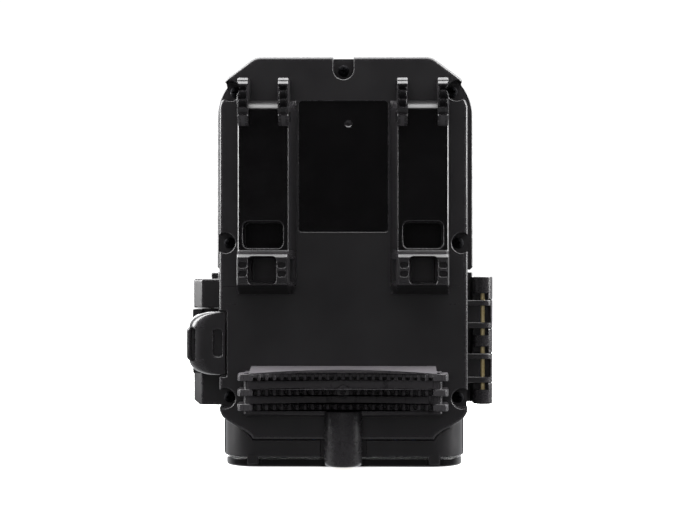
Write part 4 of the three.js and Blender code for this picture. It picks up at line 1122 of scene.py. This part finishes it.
for name, make, slot in (("lens_barrel", lens_barrel, "inner_plastic"), ("lens_glass", lens_glass, "lens_glass"),
                         ("lens_ring", lens_ring, "shell"), ("ir_window", ir_window, "dark_glass"),
                         ("motion_lens", motion_lens, "motion_lens")):
    piece(name + "_shape", finished(make()), slot, "housing", [name])
led_board()
chips("main_board", -1, [
    ("processor", "inner_plastic", 4, 112, 13, 13, 1.2), ("memory_chip", "inner_plastic", -16, 112, 9, 12, 1),
    ("shield_can", "steel", 20, 92, 16, 12, 1.8), ("cable_socket", "key_grey", -18, 86, 14, 3.4, 2),
    ("coil", "inner_plastic", 22, 126, 6, 6, 2.6), ("crystal", "steel", -2, 96, 5, 3, 0.9),
])
chips("control_board", 1, [
    ("controller", "inner_plastic", -10, 50, 8, 8, 1), ("cable_socket", "key_grey", 14, 46, 12, 3.2, 1.8),
    ("buzzer", "inner_plastic", 27, 47, 7, 7, 2.2),
])


# ---- control panel ----
KEY_TURN = {"up": 90, "down": 270, "left": 180, "right": 0}


def key_cap(node):
    (x0, x1), (y0, y1), (z0, z1) = [span(node, axis) for axis in "xyz"]
    x, z = (x0 + x1) / 2, (z0 + z1) / 2
    half = (x1 - x0) / 2
    name = node[4:]
    outline = (lambda r: disc(x, z, r)) if name == "ok" else (lambda r: rect(x - r, x + r, z - r, z + r, 1))
    cap = prism("y", outline(half - 0.45), y0 + 0.05, -3, 0.45, 0, 5)
    flange = prism("y", outline(half), -3.9, y1)
    body = join(cap, flange)
    if name in KEY_TURN:
        arrow = [(x + a, z + b) for a, b in disc(0, 0, 1.1, 3)]
        turn = math.radians(KEY_TURN[name])
        arrow = [(x + (a - x) * math.cos(turn) - (b - z) * math.sin(turn),
                  z + (a - x) * math.sin(turn) + (b - z) * math.cos(turn)) for a, b in arrow]
        body = cut(body, prism("y", arrow, y0 - 1, y0 + 0.25))
    else:
        ring = cut(rod("y", x, z, 1.5, y0 - 1, y0 + 0.25), rod("y", x, z, 1.1, y0 - 2, y0 + 1))
        body = cut(body, ring)
    return piece(node + "_shape", finished(body), "key_grey", BODY_OF[node], [node])


def mode_switch():
    (x0, x1), (y0, y1), (z0, z1) = [span("mode_switch", axis) for axis in "xyz"]
    x = (x0 + x1) / 2
    ridges = [(y0 + (0.25 if i % 2 else 0.0), z0 + 0.3 + (z1 - z0 - 0.6) * i / 10) for i in range(11)]
    stem = prism("x", ridges + [(-2.5, z1 - 0.1), (-2.5, z0 + 0.1)], x - 1, x + 1, 0.1, 0.1, 2)
    return join(stem, prism("y", rect(x0, x1, z0, z1, 0.3), -3.9, y1, 0.2, 0.2, 2))


def display_module():
    (x0, x1), (y0, y1), (z0, z1) = [span("display_module", axis) for axis in "xyz"]
    body = prism("y", rect(x0, x1, z0, z1, 0.5), y0, y1, 0.2, 0.2, 2)
    return cut(body, prism("y", rect(x0 + 1.6, x1 - 1.6, z0 + 1.6, z1 - 1.6, 0.4), y0 - 1, y0 + 0.3))


def memory_card():
    (x0, x1), (y0, y1), (z0, z1) = [span("memory_card", axis) for axis in "xyz"]
    outline = fillet([(x1, y1), (x0 + 4, y1), (x0, y1 - 4), (x0, y0), (x1, y0)], [0.7, 0.3, 0.3, 0.7, 0.7])
    body = prism("z", outline, z0, z1, 0.15, 0.15, 2)
    recess = prism("z", rect(x0 + 2, x1 - 2, y0 + 5, y1 - 8, 1), z1 - 0.12, z1 + 1)
    grip = [prism("z", rect(x0 + 3, x1 - 3, y0 + 0.8 + 0.9 * i, y0 + 1.1 + 0.9 * i, 0.1), z1 - 0.15, z1 + 1)
            for i in range(3)]
    piece("memory_card_shape", finished(cut(body, recess, *grip)), "inner_plastic", "memory_card", ["memory_card"])
    for i in range(9):
        x = x0 + 4 + i * 2.1
        contact = box(x - 0.65, x + 0.65, y1 - 5.4, y1 - 1, z0 - 0.02, z0 + 0.1)
        piece(f"card_contact_{i + 1}", finished(contact), "brass", "memory_card")


for name in KEY_TURN:
    key_cap("key_" + name)
key_cap("key_ok")
piece("mode_switch_shape", finished(mode_switch()), "key_grey", "mode_switch", ["mode_switch"])
piece("display_module_shape", finished(display_module()), "inner_plastic", "housing", ["display_module"])
memory_card()


# ---- batteries ----
def battery(node):
    (x0, x1), (y0, y1), (z0, z1) = [span(node, axis) for axis in "xyz"]
    length, r = y1 - y0, (z1 - z0) / 2
    row, column = divmod(int(node[8:]) - 1, 4)
    forward = (column + row) % 2
    base = ((x0 + x1) / 2, y0 if forward else y1, (z0 + z1) / 2)
    lip = [(r - 0.9, 0.12), (r - 0.75, 0.0), (r - 0.3, 0.02), (r - 0.05, 0.35), (r, 0.8)]
    top = length - 1.5
    shoulder = [(r, top - 0.7), (r - 0.06, top - 0.25), (r - 0.3, top), (r - 0.8, top + 0.02), (r - 1.0, top - 0.15)]
    nub = [(3.3, top - 0.12), (2.9, top + 0.05), (2.7, top + 0.3), (2.7, length - 0.25), (2.45, length), (0, length)]
    body = turned([(0, 0.12), *lip, *shoulder, *nub], base, (0, 1 if forward else -1, 0), 64)
    mesh = finished(body)
    bare = mesh.attributes.new("bare", "FLOAT", "FACE")
    for face in mesh.polygons:
        off = math.hypot(face.center.x - base[0] * MM, face.center.z - base[2] * MM) / MM
        bare.data[face.index].value = 1.0 if off < r - 0.95 else 0.0
    return piece(node + "_shape", mesh, "cell_wrap", "housing", [node])


for number in range(1, 9):
    battery(f"battery_{number}")
for name in ("control_panel", "battery_tray", "card_socket"):
    refined(name, 0.25)


# ---- floor, backdrop, light and camera ----
def stage_plane(name, size, z, material):
    bm = bmesh.new()
    bmesh.ops.create_grid(bm, x_segments=8, y_segments=8, size=size)
    bmesh.ops.translate(bm, vec=(0, 0, z), verts=bm.verts)
    mesh = bpy.data.meshes.new(name)
    bm.to_mesh(mesh)
    bm.free()
    obj = bpy.data.objects.new(name, mesh)
    mesh.materials.append(material)
    bpy.context.scene.collection.objects.link(obj)
    return obj


def pale_floor():
    look = Look("pale_floor", Roughness=0.85, Specular_IOR_Level=0.1)
    look.colour(look.ramp(look.noise(60, 3), (0.3, 0.86), (0.7, 0.9)))
    look.shader.inputs["Emission Color"].default_value = (1, 1, 1, 1)
    look.shader.inputs["Emission Strength"].default_value = 0.75
    floor = stage_plane("floor", 3.0, -0.0002, look.material)
    floor.visible_diffuse = False
    floor.visible_glossy = False


def area_light(name, place, aim, size, power, colour=(1, 1, 1)):
    light = bpy.data.lights.new(name, "AREA")
    light.shape = "RECTANGLE"
    light.size, light.size_y = size
    light.energy = power
    light.color = colour
    obj = bpy.data.objects.new(name, light)
    obj.location = place
    obj.rotation_euler = (Vector(aim) - Vector(place)).to_track_quat("-Z", "Y").to_euler()
    obj.visible_camera = False
    bpy.context.scene.collection.objects.link(obj)
    return obj


def backdrop():
    """A large white sphere that only the camera sees, so that the ground behind is plain in every view."""
    bm = bmesh.new()
    bmesh.ops.create_icosphere(bm, subdivisions=4, radius=4.0)
    mesh = bpy.data.meshes.new("backdrop")
    bm.to_mesh(mesh)
    bm.free()
    look = Look("backdrop")
    look.shader.inputs["Base Color"].default_value = (0, 0, 0, 1)
    look.shader.inputs["Emission Color"].default_value = (1, 1, 1, 1)
    look.shader.inputs["Emission Strength"].default_value = 1.05
    mesh.materials.append(look.material)
    obj = bpy.data.objects.new("backdrop", mesh)
    bpy.context.scene.collection.objects.link(obj)
    for ray in ("diffuse", "glossy", "transmission", "volume_scatter", "shadow"):
        setattr(obj, "visible_" + ray, False)


def world_light():
    """Studio walls: bright behind the lens side, dim behind the tree side, a pale bounce from below."""
    world = bpy.data.worlds.new("studio")
    bpy.context.scene.world = world
    world.use_nodes = True
    tree = world.node_tree
    direction = tree.nodes.new("ShaderNodeTexCoord").outputs["Generated"]
    split = tree.nodes.new("ShaderNodeSeparateXYZ")
    tree.links.new(direction, split.inputs["Vector"])

    def wall(axis, start, end, strength):
        made = tree.nodes.new("ShaderNodeMapRange")
        made.interpolation_type = "SMOOTHSTEP"
        made.inputs["From Min"].default_value, made.inputs["From Max"].default_value = start, end
        made.inputs["To Max"].default_value = strength
        tree.links.new(split.outputs[axis], made.inputs["Value"])
        return made.outputs["Result"]

    total = None
    for source in (wall("Y", 0.1, -0.75, WALL_LIGHT), wall("Z", 0.0, -0.6, FLOOR_LIGHT),
                   wall("Z", -2, -1.9, DIM_LIGHT)):
        if total is None:
            total = source
            continue
        add = tree.nodes.new("ShaderNodeMath")
        tree.links.new(total, add.inputs[0])
        tree.links.new(source, add.inputs[1])
        total = add.outputs[0]
    tree.links.new(total, tree.nodes["Background"].inputs["Strength"])
    tree.nodes["Background"].inputs["Color"].default_value = (0.97, 0.98, 1.0, 1)


WALL_LIGHT, FLOOR_LIGHT, DIM_LIGHT = 1.0, 0.35, 0.02
pale_floor()
backdrop()
world_light()
area_light("top_softbox", (0, 0.02, 0.75), (0, 0, 0.08), (0.9, 0.7), 17)
area_light("left_strip", (0.6, 0.03, 0.42), (0, 0.02, 0.12), (0.3, 0.76), 15)
area_light("right_strip", (-0.6, 0.03, 0.42), (0, 0.02, 0.12), (0.3, 0.76), 15)
area_light("lens_side_fill", (0.2, -0.7, 0.3), (0, 0, 0.08), (0.7, 0.6), 6)
area_light("tree_side_fill", (0, 1.4, 0.3), (0, 0, 0.08), (1.2, 1.0), 18).visible_glossy = False

camera = bpy.data.objects.new("camera", bpy.data.cameras.new("camera"))
camera.data.lens = 86.4
camera.data.sensor_width = 36
camera.location = (-0.0121, 0.626, 0.0732)
camera.rotation_euler = (math.radians(90), 0, math.radians(180.93))
bpy.context.scene.collection.objects.link(camera)
bpy.context.scene.camera = camera
bpy.context.scene.view_settings.view_transform = "Standard"
